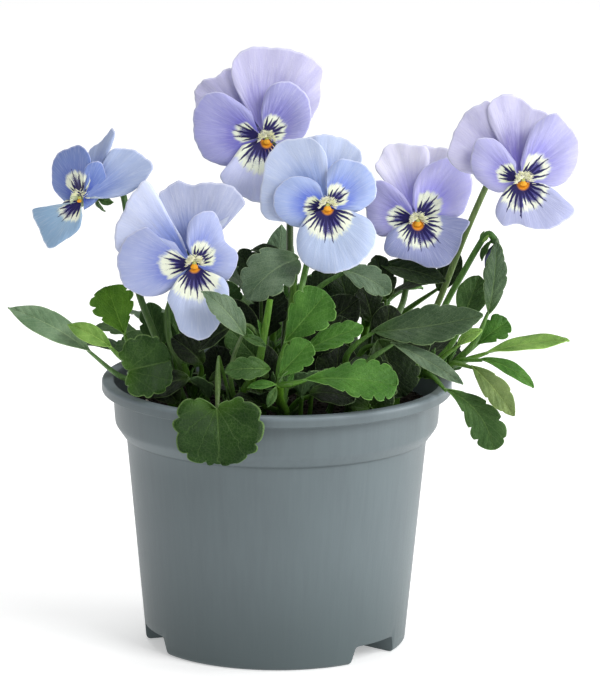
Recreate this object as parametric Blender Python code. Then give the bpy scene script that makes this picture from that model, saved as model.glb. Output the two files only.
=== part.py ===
"""Potted horned violet: a nursery pot, its soil, leafy stems and six blooms.

Blender script, metres, +Z up. The pot stands on z = 0 about the origin and the
viewer looks along +Y. Positions are written in millimetres and scaled by MM.
"""

import math
from dataclasses import dataclass, field

import bmesh
import bpy
import numpy as np

MM = 0.001

# Pot
RIM_RADIUS = 52.5
POT_HEIGHT = 80.4
LIP_HEIGHT = 3.4
LIP_INNER = 50.0
COLLAR_RADIUS = 48.6
COLLAR_LOW = 67.75
NECK_HEIGHT = 63.6
NECK_RADIUS = 45.15
FOOT_RADIUS = 39.2
FOOT_CORNER = 1.6
WALL = 1.4
FLOOR = 1.6
CHANNEL_ANGLES = (50.0, 170.0, -70.0)
CHANNEL_WIDTH = 20.5
CHANNEL_TOP_WIDTH = 17.5
CHANNEL_HEIGHT = 5.5
CHANNEL_START = 15.0
DRAIN_RADIUS = 3.0
DRAIN_DISTANCE = 28.0
POT_SEGMENTS = 36

# Soil
SOIL_TOP = 72.0
SOIL_CROWN = 1.2
GAP = 0.3
STEM_DEPTH = 60.0

# Foliage
LEAF_THICK = 0.7
PETIOLE_RADIUS = 1.0
STALK_RADIUS = 1.0
LEAF_ROWS = 5

# Blooms
PETAL_THICK = 0.6
PETAL_RINGS = (0.55, 1.0)
PETAL_COLUMNS = 9
VIEW_ELEVATION = 12.5
CORE_RADIUS = 2.0
SEPAL_LENGTH = 7.5

# Colours (linear RGB)
POT_COLOUR = (0.20, 0.25, 0.27)
SOIL_COLOUR = (0.022, 0.014, 0.009)
LEAF_COLOUR = (0.045, 0.15, 0.025)
LILAC = (0.46, 0.44, 0.80)
BLUE = (0.34, 0.46, 0.86)
EYE_COLOUR = (0.85, 0.38, 0.02)
BUD_COLOUR = (0.10, 0.05, 0.26)


@dataclass(frozen=True)
class Leaf:
    """One blade: a midrib from base to tip, a width and the way its face looks."""

    kind: str
    base: tuple
    tip: tuple
    width: float
    face: tuple
    bow: float = 1.5
    sway: float = 0.0
    teeth: int = 0
    petiole: tuple = ()


@dataclass(frozen=True)
class LeafyStem:
    """A stem in its hole in the soil, its leaves and its flower stalks."""

    name: str
    axis: tuple
    radius: float
    leaves: tuple
    stalks: tuple = ()


@dataclass(frozen=True)
class Petal:
    """A petal's rim in the plane of the face, and how it lies in depth."""

    rim: tuple
    layer: float = 0.0
    slope: tuple = (0.0, 0.0)
    lift: float = 0.0


@dataclass(frozen=True)
class Bloom:
    """Five petals about a throat; facing is the way the bloom looks."""

    name: str
    throat: tuple
    colour: tuple
    petals: tuple = field(default=())
    facing: tuple = (0.0, -0.976, 0.217)


# Leaf shapes: how width rises from the base and falls to the tip
SHAPES = {
    "lance": (1.1, 0.95),
    "spoon": (1.25, 0.5),
    "oval": (0.75, 0.6),
    "round": (0.5, 0.5),
}

LEFT_STEM = LeafyStem(
    "leafy_stem_left",
    axis=((-31, -12, STEM_DEPTH), (-31, -12, 74), (-32, -13, 86)),
    radius=1.6,
    leaves=(
        Leaf("lance", (-55.2, -16, 91.5), (-80, -10, 103.5), 9.0, (-15, 45), 3.0,
             petiole=((-31.5, -12.5, 79), (-40, -13, 81.5), (-47, -14, 84))),
        Leaf("lance", (-48.8, -21, 94), (-62, -19, 100.5), 6.0, (-10, 40), 1.5,
             petiole=((-32, -13, 84), (-39, -17, 88), (-45.3, -19, 90))),
        Leaf("spoon", (-45.2, -14, 96.5), (-50.5, -12, 110.5), 13.0, (-5, 15), 1.0, teeth=4,
             petiole=((-32, -13, 85), (-38, -12, 86.5), (-43, -13, 90))),
        Leaf("round", (-43.4, -34, 90), (-31.5, -31, 92.5), 18.0, (5, 15), 1.0, teeth=4,
             petiole=((-31.5, -12.5, 81), (-38, -20, 83.5), (-43, -29, 87.5))),
        Leaf("oval", (-38, -4, 87), (-47, 3, 91), 11.0, (-60, 45), 1.5,
             petiole=((-31.6, -12.6, 82), (-35, -8, 85))),
    ),
    stalks=(((-32, -13, 85), (-36, -12, 95), (-41, -11, 108), (-44, -8, 120),
             (-45, -3.5, 131), (-47, 0.5, 138), (-51, 0.5, 139.5), (-54.5, -4.5, 137.2)),),
)

INNER_LEFT_STEM = LeafyStem(
    "leafy_stem_inner_left",
    axis=((-24, -15, STEM_DEPTH), (-24.5, -15, 76), (-28, -14.5, 88)),
    radius=1.5,
    leaves=(
        Leaf("oval", (-26, -22, 85), (-39, -24, 80.5), 9.0, (-10, 45), 1.5,
             petiole=((-24.3, -15, 77), (-24.5, -19, 83))),
        Leaf("oval", (-22, -19, 89), (-31, -20, 97), 8.0, (-5, 35), 1.5,
             petiole=((-25.5, -15, 80), (-22.5, -16, 85))),
        Leaf("lance", (-29.5, -11, 96), (-31, -8, 109), 5.0, (10, 10), 0.5, 0,
             petiole=((-27.5, -14.5, 86), (-28.5, -12.5, 91))),
        Leaf("oval", (-20, -14, 82), (-8, -19, 83.5), 11.0, (0, 50), 1.5,
             petiole=((-24.4, -15, 75), (-22.5, -14.5, 79.5))),
    ),
    stalks=(((-28, -14.5, 86), (-32, -13.5, 95), (-32.3, -13, 104), (-28, -13.5, 114),
             (-25, -14.5, 120), (-24.7, -17.5, 122.5), (-24.7, -21.2, 121.3)),),
)

FRONT_STEM = LeafyStem(
    "leafy_stem_front_left",
    axis=((-14, -26, STEM_DEPTH), (-13, -27, 76), (-6, -32, 90), (-3.5, -32, 102),
          (-2, -30.5, 111)),
    radius=1.4,
    leaves=(
        Leaf("lance", (-9.3, -37, 101), (-22, -37, 114.7), 8.5, (20, 40), 2.0, teeth=2,
             petiole=((-12, -27.7, 78), (-13.5, -33, 88), (-12.5, -34.5, 95))),
        Leaf("lance", (-10.2, -37.5, 101.5), (-3.1, -40.5, 99), 3.2, (0, 50), 0.5),
        Leaf("oval", (-1.9, -42, 92.5), (-15, -44, 92.3), 7.0, (0, 30), 1.5, teeth=2,
             petiole=((-6, -32, 90), (-3, -37, 89))),
        Leaf("lance", (-12.6, -30, 103), (-23, -30, 95), 6.0, (0, 60), 1.0,
             petiole=((-4, -32, 98), (-8, -31, 103))),
        Leaf("round", (-17.2, -51.5, 82.6), (-16, -57, 67.5), 25.5, (0, 22), 1.5, teeth=5,
             petiole=((-13, -27, 77), (-16, -31, 90), (-17, -37, 95), (-17.1, -45, 89.5))),
    ),
)

CENTRE_STEM = LeafyStem(
    "leafy_stem_centre",
    axis=((3, -27, STEM_DEPTH), (3, -27, 74), (1, -36, 82), (1, -44, 88.5)),
    radius=1.6,
    leaves=(
        Leaf("spoon", (2.2, -40, 100), (14.5, -38, 114.5), 13.5, (0, 15), 1.0, teeth=3,
             petiole=((1, -42, 87), (0.8, -40.5, 93))),
        Leaf("spoon", (0.5, -44, 90.5), (9.8, -46, 101.5), 9.0, (5, 25), 1.0, teeth=2,
             petiole=((1, -43, 87.5),)),
        Leaf("spoon", (7.8, -47, 90.5), (35.2, -45, 88.4), 13.0, (0, 40), 2.5, teeth=5,
             petiole=((1, -43.5, 88.2), (4, -46, 89))),
        Leaf("oval", (8.6, -38, 97), (25.3, -36, 104), 7.5, (0, 40), 1.5, teeth=3,
             petiole=((1, -41, 86.2), (4, -39.5, 92))),
        Leaf("lance", (0, -45, 88), (-2.5, -48, 82.5), 2.8, (0, 20), 0.3),
        Leaf("lance", (0, -44.5, 88.5), (-8.5, -46, 88), 3.2, (0, 50), 0.5),
        Leaf("oval", (10, -33, 83), (23, -39, 82.5), 11.0, (10, 60), 1.5,
             petiole=((3, -27.5, 75), (6, -30.5, 80))),
        Leaf("oval", (-5, -33.5, 80), (-12, -41, 81.5), 8.0, (-10, 55), 1.0,
             petiole=((2.8, -28, 75), (-1, -31, 78))),
    ),
    stalks=(((1.8, -33, 80), (4, -31, 92), (5.3, -28, 104), (8.3, -22, 118), (11.5, -15, 130),
             (13.5, -9.5, 137.5), (14.2, -9.5, 139.5), (14.2, -15.2, 137.5)),),
)

MIDDLE_STEM = LeafyStem(
    "leafy_stem_middle",
    axis=((1, -3, STEM_DEPTH), (2, -4, 80), (4, -7, 100), (5, -9, 113)),
    radius=1.5,
    leaves=(
        Leaf("oval", (6, -11.5, 118.8), (-9, -22, 109.2), 15.5, (-10, 40), 4.0, teeth=3,
             petiole=((5, -9, 112),)),
        Leaf("lance", (2, -3, 117.5), (-8, -5, 120.5), 6.0, (0, 60), 1.0,
             petiole=((4, -7, 106), (4.5, -4.5, 112))),
        Leaf("oval", (19.5, -8, 115.2), (33.5, -12, 109.2), 9.5, (20, 40), 1.5, teeth=2,
             petiole=((3.5, -6.5, 98), (12, -6, 109))),
        Leaf("oval", (8, -13, 91), (21, -17, 102), 10.0, (10, 30), 1.5, teeth=3,
             petiole=((2.5, -5, 84), (5, -9, 88))),
        Leaf("oval", (-5, -13, 88), (-15, -18, 100), 10.0, (-10, 30), 1.5, teeth=3,
             petiole=((2.3, -4.7, 83), (-1, -9, 86))),
        Leaf("oval", (10, -6, 94), (24, -6, 106), 12.0, (15, 25), 1.5,
             petiole=((2.7, -5, 87), (6, -5.5, 91))),
        Leaf("oval", (-6, -4, 92), (-18, -4, 104), 12.0, (-15, 30), 1.5,
             petiole=((2.4, -4.6, 84), (-2, -4, 88))),
    ),
    stalks=(((2, -4, 84), (2.6, 1, 96), (3.4, 7, 112), (3.6, 9, 123), (3.0, 13, 138),
             (-1.5, 17, 149), (-4.8, 17.5, 154.5), (-4.8, 11.8, 153.1)),),
)

RIGHT_STEM = LeafyStem(
    "leafy_stem_right",
    axis=((22, -15, STEM_DEPTH), (22, -16, 76), (21, -20, 87)),
    radius=1.6,
    leaves=(
        Leaf("lance", (28.1, -26, 100.4), (60.6, -30, 106.6), 13.0, (5, 40), 2.0, 2.0, 4,
             petiole=((21, -19, 85), (20.5, -23.5, 92), (24, -25.5, 97))),
        Leaf("oval", (30, -20, 96.6), (37.5, -22, 80), 16.0, (10, 10), 1.0, teeth=4,
             petiole=((22, -16.5, 79), (25, -17, 92))),
        Leaf("lance", (33.6, -31, 98.5), (54.8, -38, 87.6), 6.0, (10, 45), 1.0,
             petiole=((21.5, -18.5, 83), (27, -28, 92))),
        Leaf("oval", (36, -11, 92.5), (45.5, -13.5, 93), 11.0, (15, 40), 1.5,
             petiole=((22, -16.2, 79), (30, -12.5, 90))),
    ),
    stalks=(((22, -16, 78), (29, -6, 90), (36, 4, 99), (38.5, 8.5, 106), (39, 9.5, 118),
             (40.5, 12, 127), (41.2, 11.5, 131), (41.2, 5.8, 129.8)),),
)

OUTER_RIGHT_STEM = LeafyStem(
    "leafy_stem_outer_right",
    axis=((35, -7, STEM_DEPTH), (36, -8, 78), (44, -11, 85), (52, -14, 87.5)),
    radius=1.5,
    leaves=(
        Leaf("lance", (61.8, -16, 92), (87, -12, 95.3), 7.0, (0, 62), 1.0,
             petiole=((51, -13.8, 87), (56, -15, 89.5))),
        Leaf("lance", (60, -19.5, 91), (76.3, -22, 83), 5.5, (0, 55), 2.5,
             petiole=((51, -13.8, 87), (55, -17, 90))),
        Leaf("lance", (57.5, -24, 90), (70.3, -27, 75.4), 8.0, (15, 25), 2.0, teeth=2,
             petiole=((50, -13.6, 87), (53, -19, 89.5))),
        Leaf("spoon", (49.5, -24, 83), (64.5, -27, 65.2), 10.5, (5, 20), 1.0, -3.0, 3,
             petiole=((43, -10.8, 84.5), (46.5, -18, 85))),
        Leaf("spoon", (59.3, -10, 93), (68.8, -8, 100), 8.0, (0, 30), 1.0, teeth=2,
             petiole=((51, -13.8, 87), (55, -12, 90))),
        Leaf("lance", (53.3, -23, 95.6), (60.6, -24, 100.8), 4.5, (0, 50), 1.0,
             petiole=((47, -12.4, 86.3), (49.5, -18.5, 91.5))),
        Leaf("oval", (55.5, -8, 101), (60, -7, 113.5), 9.5, (10, 20), 0.5,
             petiole=((45, -11.5, 85.5), (52.5, -9.5, 94))),
        Leaf("lance", (62.6, -14, 103), (65, -10, 124.8), 8.0, (30, 10), 1.0, teeth=4,
             petiole=((51, -13.8, 87), (58.5, -15.5, 95))),
        Leaf("oval", (43, 2, 86), (55, 8, 88), 12.0, (80, 50), 1.5,
             petiole=((36.3, -8, 78.5), (39.5, -3, 84))),
        Leaf("oval", (31, 2, 84.5), (38, 13, 91), 12.0, (90, 50), 1.5,
             petiole=((35.9, -7.8, 77), (33, -3, 81.5))),
    ),
    stalks=(
        ((36, -8, 78), (42, -2, 90), (48.8, 2, 105), (56, 3, 124), (62.9, 1, 141),
         (66.5, -0.5, 147), (70.5, -2, 149), (71.3, -8.2, 144.6)),
        ((37, -8, 79), (44.5, -5, 91), (50.5, -3.5, 104.6), (55.5, -3, 113.8), (59.5, -2.5, 121),
         (62.5, -2, 125.3), (64.8, -1.5, 123.5)),
    ),
)

BACK_RIGHT_STEM = LeafyStem(
    "leafy_stem_back_right",
    axis=((24, 18, STEM_DEPTH), (24.5, 17, 78), (27.5, 13, 98)),
    radius=1.5,
    leaves=(
        Leaf("lance", (30.3, 3.5, 114.5), (50.3, -1.0, 110.5), 8.0, (0, 40), 1.5,
             petiole=((27.5, 13, 96), (29, 8, 107))),
        Leaf("lance", (34, 5, 105), (46.8, 4, 109.5), 6.0, (0, 75), 1.0,
             petiole=((27.2, 13.4, 94), (29.5, 9, 101))),
        Leaf("oval", (48.3, 12, 105), (54.4, 10, 116.8), 7.0, (0, 20), 0.5,
             petiole=((25.5, 15.5, 86), (38, 17, 97))),
        Leaf("spoon", (36, 26, 90), (53, 32, 91), 13.0, (130, 50), 2.0, teeth=4,
             petiole=((24.8, 16.8, 80), (29, 21, 86))),
        Leaf("spoon", (28, 33, 91), (38, 49, 90), 13.0, (150, 50), 2.0, teeth=4,
             petiole=((24.6, 17, 79), (25.5, 25, 86))),
        Leaf("oval", (33, 20, 99), (44, 25, 103), 9.0, (120, 45), 1.5,
             petiole=((26.5, 14.5, 91), (29, 17, 96))),
        Leaf("oval", (18, 9, 93), (11, 3, 107), 12.0, (-5, 35), 1.5,
             petiole=((25, 16.3, 82), (21, 12, 89))),
    ),
)

BACK_STEM = LeafyStem(
    "leafy_stem_back",
    axis=((-2, 26, STEM_DEPTH), (-2, 26, 78), (-1, 26, 96)),
    radius=1.5,
    leaves=(
        Leaf("spoon", (-8, 36, 91), (-14, 53, 94), 13.0, (190, 50), 2.0, teeth=4,
             petiole=((-2, 26, 79), (-5, 31, 87))),
        Leaf("spoon", (6, 33, 96), (15, 45, 104), 12.0, (160, 45), 2.0, teeth=3,
             petiole=((-1.5, 26, 86), (1.5, 29, 92))),
        Leaf("oval", (-9, 29, 99), (-20, 36, 107), 11.0, (200, 45), 2.0, teeth=3,
             petiole=((-1.3, 26, 90), (-4.5, 27, 95.5))),
        Leaf("round", (5, 52.5, 82.8), (5.5, 58, 69), 22.0, (180, 20), 1.5, teeth=5,
             petiole=((-1.7, 26, 82), (2, 35, 91), (4.5, 45, 90))),
        Leaf("lance", (0, 28, 103), (1, 36, 120), 9.0, (180, 25), 1.5,
             petiole=((-1, 26, 94), (-0.5, 26.5, 98.5))),
        Leaf("oval", (6, 24, 88), (17, 21, 97), 13.0, (60, 50), 1.5,
             petiole=((-1.8, 26, 81), (2, 25, 85.5))),
        Leaf("oval", (-9, 20, 88), (-16, 11, 96), 13.0, (-60, 45), 1.5,
             petiole=((-1.7, 26, 82), (-5, 23, 85.5))),
    ),
)

BACK_LEFT_STEM = LeafyStem(
    "leafy_stem_back_left",
    axis=((-26, 16, STEM_DEPTH), (-26, 16, 78), (-26, 17, 90)),
    radius=1.5,
    leaves=(
        Leaf("spoon", (-40, 20, 87), (-57, 24, 89), 12.0, (-100, 50), 2.0, teeth=4,
             petiole=((-26, 16, 79), (-33, 18, 85))),
        Leaf("oval", (-34, 30, 88), (-45, 42, 91), 13.0, (-140, 50), 2.0, teeth=3,
             petiole=((-26, 16.3, 80), (-30, 23, 86))),
        Leaf("lance", (-44, 6, 86), (-64, 4, 90), 8.0, (-75, 50), 1.5,
             petiole=((-26, 16, 78), (-34, 11, 83))),
        Leaf("spoon", (-26, 26, 97), (-29, 38, 104), 11.0, (190, 45), 1.5, teeth=3,
             petiole=((-26, 17, 88), (-26, 21, 93))),
        Leaf("spoon", (-18, 10, 96), (-14, 8, 108), 10.0, (0, 25), 1.0, teeth=3,
             petiole=((-26, 16.8, 87), (-22, 13, 92))),
        Leaf("oval", (-20, 34, 88), (-27, 48, 90), 12.0, (200, 50), 2.0, teeth=3,
             petiole=((-26, 16.1, 79.5), (-22, 26, 86))),
    ),
)

STEMS = (
    LEFT_STEM, INNER_LEFT_STEM, FRONT_STEM, CENTRE_STEM, MIDDLE_STEM, RIGHT_STEM,
    OUTER_RIGHT_STEM, BACK_RIGHT_STEM, BACK_STEM, BACK_LEFT_STEM,
)

# Petal rims: x to the right and y up, from the throat, as the viewer sees the bloom
BLOOMS = (
    Bloom("bloom_far_left", (-58, -8, 136), BLUE, facing=(-0.80, -0.58, -0.10), petals=(
        Petal(((1.5, 7), (1.5, 14.5), (4.5, 17), (7, 19.5), (8.5, 21.5), (9.5, 19.5),
               (8.5, 16), (6.5, 11)), -1.0, (1.2, -0.5), -3.0),
        Petal(((5, 7), (6.5, 11.5), (9, 15), (14.5, 15), (19, 12.5), (21, 9.5), (18.5, 5.5),
               (14, 2), (8, 0.5), (4, 1)), -0.5, (0.22, 0.0), 0.0),
        Petal(((2, 5.5), (2.5, 12), (-0.5, 16), (-5.5, 15), (-8.5, 13), (-9.5, 9), (-9, 3.5),
               (-5.5, -0.5)), 0.4, (1.1, 0.12), 0.4),
        Petal(((0.5, 6.5), (1, 9.5), (3, 11), (5.5, 11), (7, 7), (6, 2.5), (3.5, -1),
               (0.5, -3)), 1.0, (-0.45, 0.0), 7.5),
        Petal(((-5, 0), (-8, -2.5), (-14.5, -2.5), (-15, -4.5), (-12.5, -10), (-10, -14.5),
               (-5, -12), (-1, -9), (0, -5)), 0.8, (0.6, -0.2), 0.0),
    )),
    Bloom("bloom_front_left", (-24.7, -25, 120), BLUE, petals=(
        Petal(((-13, 0.5), (-22, 3.5), (-23.5, 9.5), (-20.5, 17), (-18, 21.5), (-14.5, 25),
               (-11, 21), (-7.5, 14.5), (-3.5, 8)), -1.6, (0.12, -0.14), -1.0),
        Petal(((-7, 12), (-10.5, 20), (-8.5, 23), (-5, 25), (-1, 24), (3, 24.5), (8, 24.5),
               (12.5, 22.5), (15, 18.5), (11.5, 15.5), (6, 12)), -2.6, (0.0, -0.3), -2.0),
        Petal(((-5.5, 6.5), (-11, 8.5), (-14, 11), (-18.5, 9), (-21.5, 5.5), (-22.5, 0),
               (-20.5, -6), (-15.5, -9), (-10, -9), (-5, -6)), -0.2, (0.1, 0.0), 1.2),
        Petal(((-2, 6.5), (-1.5, 12), (2, 15.5), (6, 15.5), (8, 12), (9.5, 7), (13, 3.5),
               (12.5, -0.5), (10, -4.5), (6, -3.5)), -0.2, (-0.12, 0.05), 1.2),
        Petal(((-4.5, -4), (-7.5, -9.5), (-6, -13.5), (-3.5, -19.5), (1, -22), (5, -21),
               (8, -17), (10.5, -9.5), (9.5, -4.5), (5, -2)), 0.8, (0.0, -0.25), 0.5),
    )),
    Bloom("bloom_top", (-4.8, 8, 152.3), LILAC, petals=(
        Petal(((-14, 5), (-19.5, 8.5), (-20.5, 13.5), (-18.5, 17), (-14, 18.5), (-9.5, 21),
               (-4.5, 13.5)), -2.8, (0.12, -0.22), -1.5),
        Petal(((-6.5, 11), (-9.5, 19), (-7.5, 25.5), (-1.5, 27.5), (5, 27), (11, 26),
               (18, 21.5), (17.5, 16.5), (17.5, 11.5), (15, 6)), -1.6, (0.0, -0.25), -1.0),
        Petal(((-3.5, 7.5), (-8, 11), (-13.5, 13.5), (-18, 12), (-20.5, 7.5), (-20.5, 0.5),
               (-18, -5.5), (-14, -8), (-9, -9)), -0.2, (0.12, 0.0), 1.2),
        Petal(((-0.5, 7.5), (1, 13.5), (4.5, 16.5), (9.5, 16), (13.5, 12), (14.5, 7),
               (13.5, 2), (10, -1.5), (5, -2.5)), -0.2, (-0.12, 0.0), 1.2),
        Petal(((-6, -2.5), (-9.5, -7.5), (-12.5, -12.5), (-7.5, -17), (-2, -19.5), (4.5, -19),
               (10, -14.5), (11, -8.5), (8, -4)), 0.8, (0.0, -0.25), 0.5),
    )),
    Bloom("bloom_middle", (14.2, -19, 136.5), BLUE, petals=(
        Petal(((-12.5, -4.5), (-17.5, -3.5), (-19.5, 0.5), (-19, 7), (-17.5, 14.5), (-14, 19),
               (-8.5, 20.5), (-3.5, 20), (0, 15.5), (0.5, 8.5)), -1.6, (0.1, -0.2), -0.5),
        Petal(((-2.5, 11.5), (-6.5, 19), (-3, 21.5), (2, 21.5), (6.5, 20), (10, 17),
               (10.5, 13), (7, 8)), -2.8, (0.0, -0.28), -1.0),
        Petal(((-1, 4), (-2.5, 7), (-7, 9), (-12, 8), (-15, 4.5), (-15.5, 0.5), (-13.5, -3.5),
               (-8.5, -6), (-3.5, -5.5), (-1, -2.5)), -0.2, (0.12, 0.0), 1.2),
        Petal(((0.5, 5), (0.5, 10.5), (4, 14), (9, 13.5), (13, 11), (15, 6), (14, 2),
               (10, -1), (5.5, -2)), -0.2, (-0.12, 0.0), 1.2),
        Petal(((-5, -2), (-8, -7), (-8.5, -12.5), (-6.5, -16.5), (-2.5, -19), (3.5, -19.5),
               (9.5, -17), (13.5, -13), (15, -8), (12.5, -3.5), (7, -1)), 0.8, (0.0, -0.22), 0.5),
    )),
    Bloom("bloom_right", (41.2, 2, 128.7), LILAC, petals=(
        Petal(((-7, 9.5), (-12, 15), (-11, 18.5), (-8.5, 22.5), (-5, 23), (-0.5, 22.5),
               (3.5, 21.5), (4, 17), (2.5, 10.5)), -1.6, (0.08, -0.22), -1.0),
        Petal(((-0.5, 12.5), (-1, 21), (2.5, 22.5), (6, 22), (9.5, 21.5), (11.5, 19),
               (11, 13.5), (7, 8)), -2.8, (0.0, -0.28), -1.0),
        Petal(((-1.5, 4), (-4, 7.5), (-8.5, 11), (-12, 11.5), (-14.5, 8), (-15, 3.5),
               (-14, -1.5), (-11.5, -4.5), (-8.5, -5), (-4, -2.5)), -0.2, (0.12, 0.0), 1.2),
        Petal(((-1, 4.5), (-0.5, 10.5), (2.5, 15.5), (7, 18), (11.5, 18.5), (15.5, 15.5),
               (17, 11.5), (16, 6.5), (14, 2), (10, 0), (5.5, -0.5)), -0.2, (-0.12, 0.0), 1.2),
        Petal(((-4, -1.5), (-8, -4), (-9.5, -8), (-8.5, -10.5), (-4, -12), (-0.5, -12.5),
               (4, -14.5), (9.5, -13.5), (12.5, -9.5), (14, -4.5), (16, -0.5), (10, 1),
               (5, 1.5)), 0.8, (0.0, -0.25), 0.5),
    )),
    Bloom("bloom_far_right", (71.3, -12, 143.5), LILAC, petals=(
        Petal(((-11, 1.5), (-17.5, 3), (-21, 7), (-20, 12), (-18, 16.5), (-16, 20),
               (-11.5, 23), (-8.5, 23.5), (-5.5, 16.5), (-2.5, 7.5)), -2.8, (0.15, -0.15), -1.0),
        Petal(((-5.5, 10.5), (-9, 18.5), (-8, 24), (-2.5, 26), (1, 24.5), (4, 22), (8.5, 20),
               (8, 15), (4, 6.5)), -1.6, (0.0, -0.25), -1.0),
        Petal(((-1, 5.5), (-5, 10.5), (-8.5, 12.5), (-12.5, 12), (-14, 8), (-14, 3), (-11, -1),
               (-6.5, -3.5), (-2.5, -3)), -0.2, (0.12, 0.0), 1.2),
        Petal(((0.5, 5.5), (2.5, 12.5), (5, 17), (10, 20), (14, 17.5), (17.5, 12.5), (18, 8),
               (16, 2), (11.5, -1.5), (5.5, -1.5)), -0.2, (-0.12, 0.0), 1.2),
        Petal(((-3.5, -2), (-6, -6), (-7, -10), (-4.5, -13.5), (-0.5, -13), (5, -14.5),
               (10, -14), (16.5, -9.5), (13, -5), (8.5, -1.5), (3.5, -0.5)), 0.8,
              (0.0, -0.25), 0.5),
    )),
)

BUD_NECK = (64.8, -1.5, 123.5)
BUD_TIP = (62.5, -2.0, 113.0)
BUD_RADIUS = 1.9


def unit(vector):
    """Return the vector at length one."""
    vector = np.asarray(vector, float)
    return vector / np.linalg.norm(vector)


def spline(points, steps):
    """Return a smooth curve through the points, with steps samples a span."""
    points = np.asarray(points, float)
    ends = np.vstack([2 * points[0] - points[1], points, 2 * points[-1] - points[-2]])
    curve = []
    for a, b, c, d in zip(ends[:-3], ends[1:-2], ends[2:-1], ends[3:]):
        for t in np.arange(steps) / steps:
            curve.append(0.5 * (2 * b + (c - a) * t + (2 * a - 5 * b + 4 * c - d) * t * t
                                + (3 * b - a - 3 * c + d) * t ** 3))
    curve.append(points[-1])
    return np.array(curve)


def resample(curve, count):
    """Return count points evenly spaced along the curve."""
    steps = np.linalg.norm(np.diff(curve, axis=0), axis=1)
    along = np.concatenate([[0.0], np.cumsum(steps)])
    wanted = np.linspace(0.0, along[-1], count)
    return np.stack([np.interp(wanted, along, curve[:, k]) for k in range(curve.shape[1])], -1)


def material(name, colour, roughness, metallic=0.0):
    """Return a new material of one colour."""
    made = bpy.data.materials.new(name)
    made.use_nodes = True
    shader = made.node_tree.nodes["Principled BSDF"]
    shader.inputs["Base Color"].default_value = (*colour, 1.0)
    shader.inputs["Roughness"].default_value = roughness
    shader.inputs["Metallic"].default_value = metallic
    return made


def add_object(name, points, faces, finish=None, smooth=False):
    """Add a mesh object from points in millimetres, with its faces turned outward."""
    mesh = bpy.data.meshes.new(name)
    mesh.from_pydata([tuple(p) for p in np.asarray(points, float) * MM], [], faces)
    shape = bmesh.new()
    shape.from_mesh(mesh)
    bmesh.ops.recalc_face_normals(shape, faces=shape.faces)
    if shape.calc_volume(signed=True) < 0:
        bmesh.ops.reverse_faces(shape, faces=shape.faces)
    for face in shape.faces:
        face.smooth = smooth
    shape.to_mesh(mesh)
    shape.free()
    made = bpy.data.objects.new(name, mesh)
    bpy.context.scene.collection.objects.link(made)
    if finish:
        mesh.materials.append(finish)
    return made


def slab(points, triangles, rim, thick):
    """Return a closed slab about a sheet: its points, and triangles alike on both faces."""
    points = np.asarray(points, float)
    tri = np.asarray(triangles)
    flat = np.cross(points[tri[:, 1]] - points[tri[:, 0]], points[tri[:, 2]] - points[tri[:, 0]])
    normals = np.zeros_like(points)
    for corner in range(3):
        np.add.at(normals, tri[:, corner], flat)
    normals /= np.linalg.norm(normals, axis=1, keepdims=True)
    count = len(points)
    both = np.vstack([points + normals * thick / 2, points - normals * thick / 2])
    faces = [tuple(t) for t in tri] + [tuple(t[::-1] + count) for t in tri]
    for a, b in zip(rim, rim[1:] + rim[:1]):
        faces += [(a, a + count, b + count), (a, b + count, b)]
    return both, faces


def leaf_sheet(leaf):
    """Return a leaf blade as a sheet: points, triangles and the order of its rim."""
    base, tip = np.array(leaf.base, float), np.array(leaf.tip, float)
    azimuth, elevation = np.radians(leaf.face)
    face = np.array([math.sin(azimuth) * math.cos(elevation),
                     -math.cos(azimuth) * math.cos(elevation), math.sin(elevation)])
    run = unit(tip - base)
    up = unit(face - face @ run * run)
    bend = (base + tip) / 2 + up * leaf.bow * 2 + np.cross(run, up) * leaf.sway * 2
    rise, fall = SHAPES[leaf.kind]
    peak = rise / (rise + fall)
    top = peak ** rise * (1 - peak) ** fall
    rows = max(LEAF_ROWS, 2 * leaf.teeth + 1)
    points = [base]
    for row in range(1, rows):
        t = row / rows
        centre = (1 - t) ** 2 * base + 2 * t * (1 - t) * bend + t * t * tip
        along = unit((1 - t) * (bend - base) + t * (tip - bend))
        side = unit(np.cross(along, up))
        normal = np.cross(side, along)
        half = leaf.width / 2 * t ** rise * (1 - t) ** fall / top
        notch = 0.93 if leaf.teeth and row % 2 == 0 else 1.0
        lobe = leaf.width * 0.3 * (1 - t) ** 2 if leaf.kind == "round" else 0.0
        for v in (-1, 0, 1):
            fold = 0.16 * half * abs(v) + 0.06 * leaf.width * v * math.sin(5.0 * t + v)
            shift = -along * lobe * abs(v) * min(1.0, 2 * half / leaf.width)
            points.append(centre + side * half * notch * v + normal * fold + shift)
    points.append(tip)
    last = len(points) - 1
    triangles = [(0, 2, 1), (0, 3, 2), (last, last - 3, last - 2), (last, last - 2, last - 1)]
    for row in range(rows - 2):
        a = 1 + 3 * row
        triangles += [(a, a + 1, a + 4), (a, a + 4, a + 3)]
        triangles += [(a + 1, a + 2, a + 4), (a + 2, a + 5, a + 4)]
    left = [1 + 3 * row for row in range(rows - 1)]
    right = [3 + 3 * row for row in range(rows - 1)]
    return points, triangles, [0] + left + [last] + right[::-1]


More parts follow.
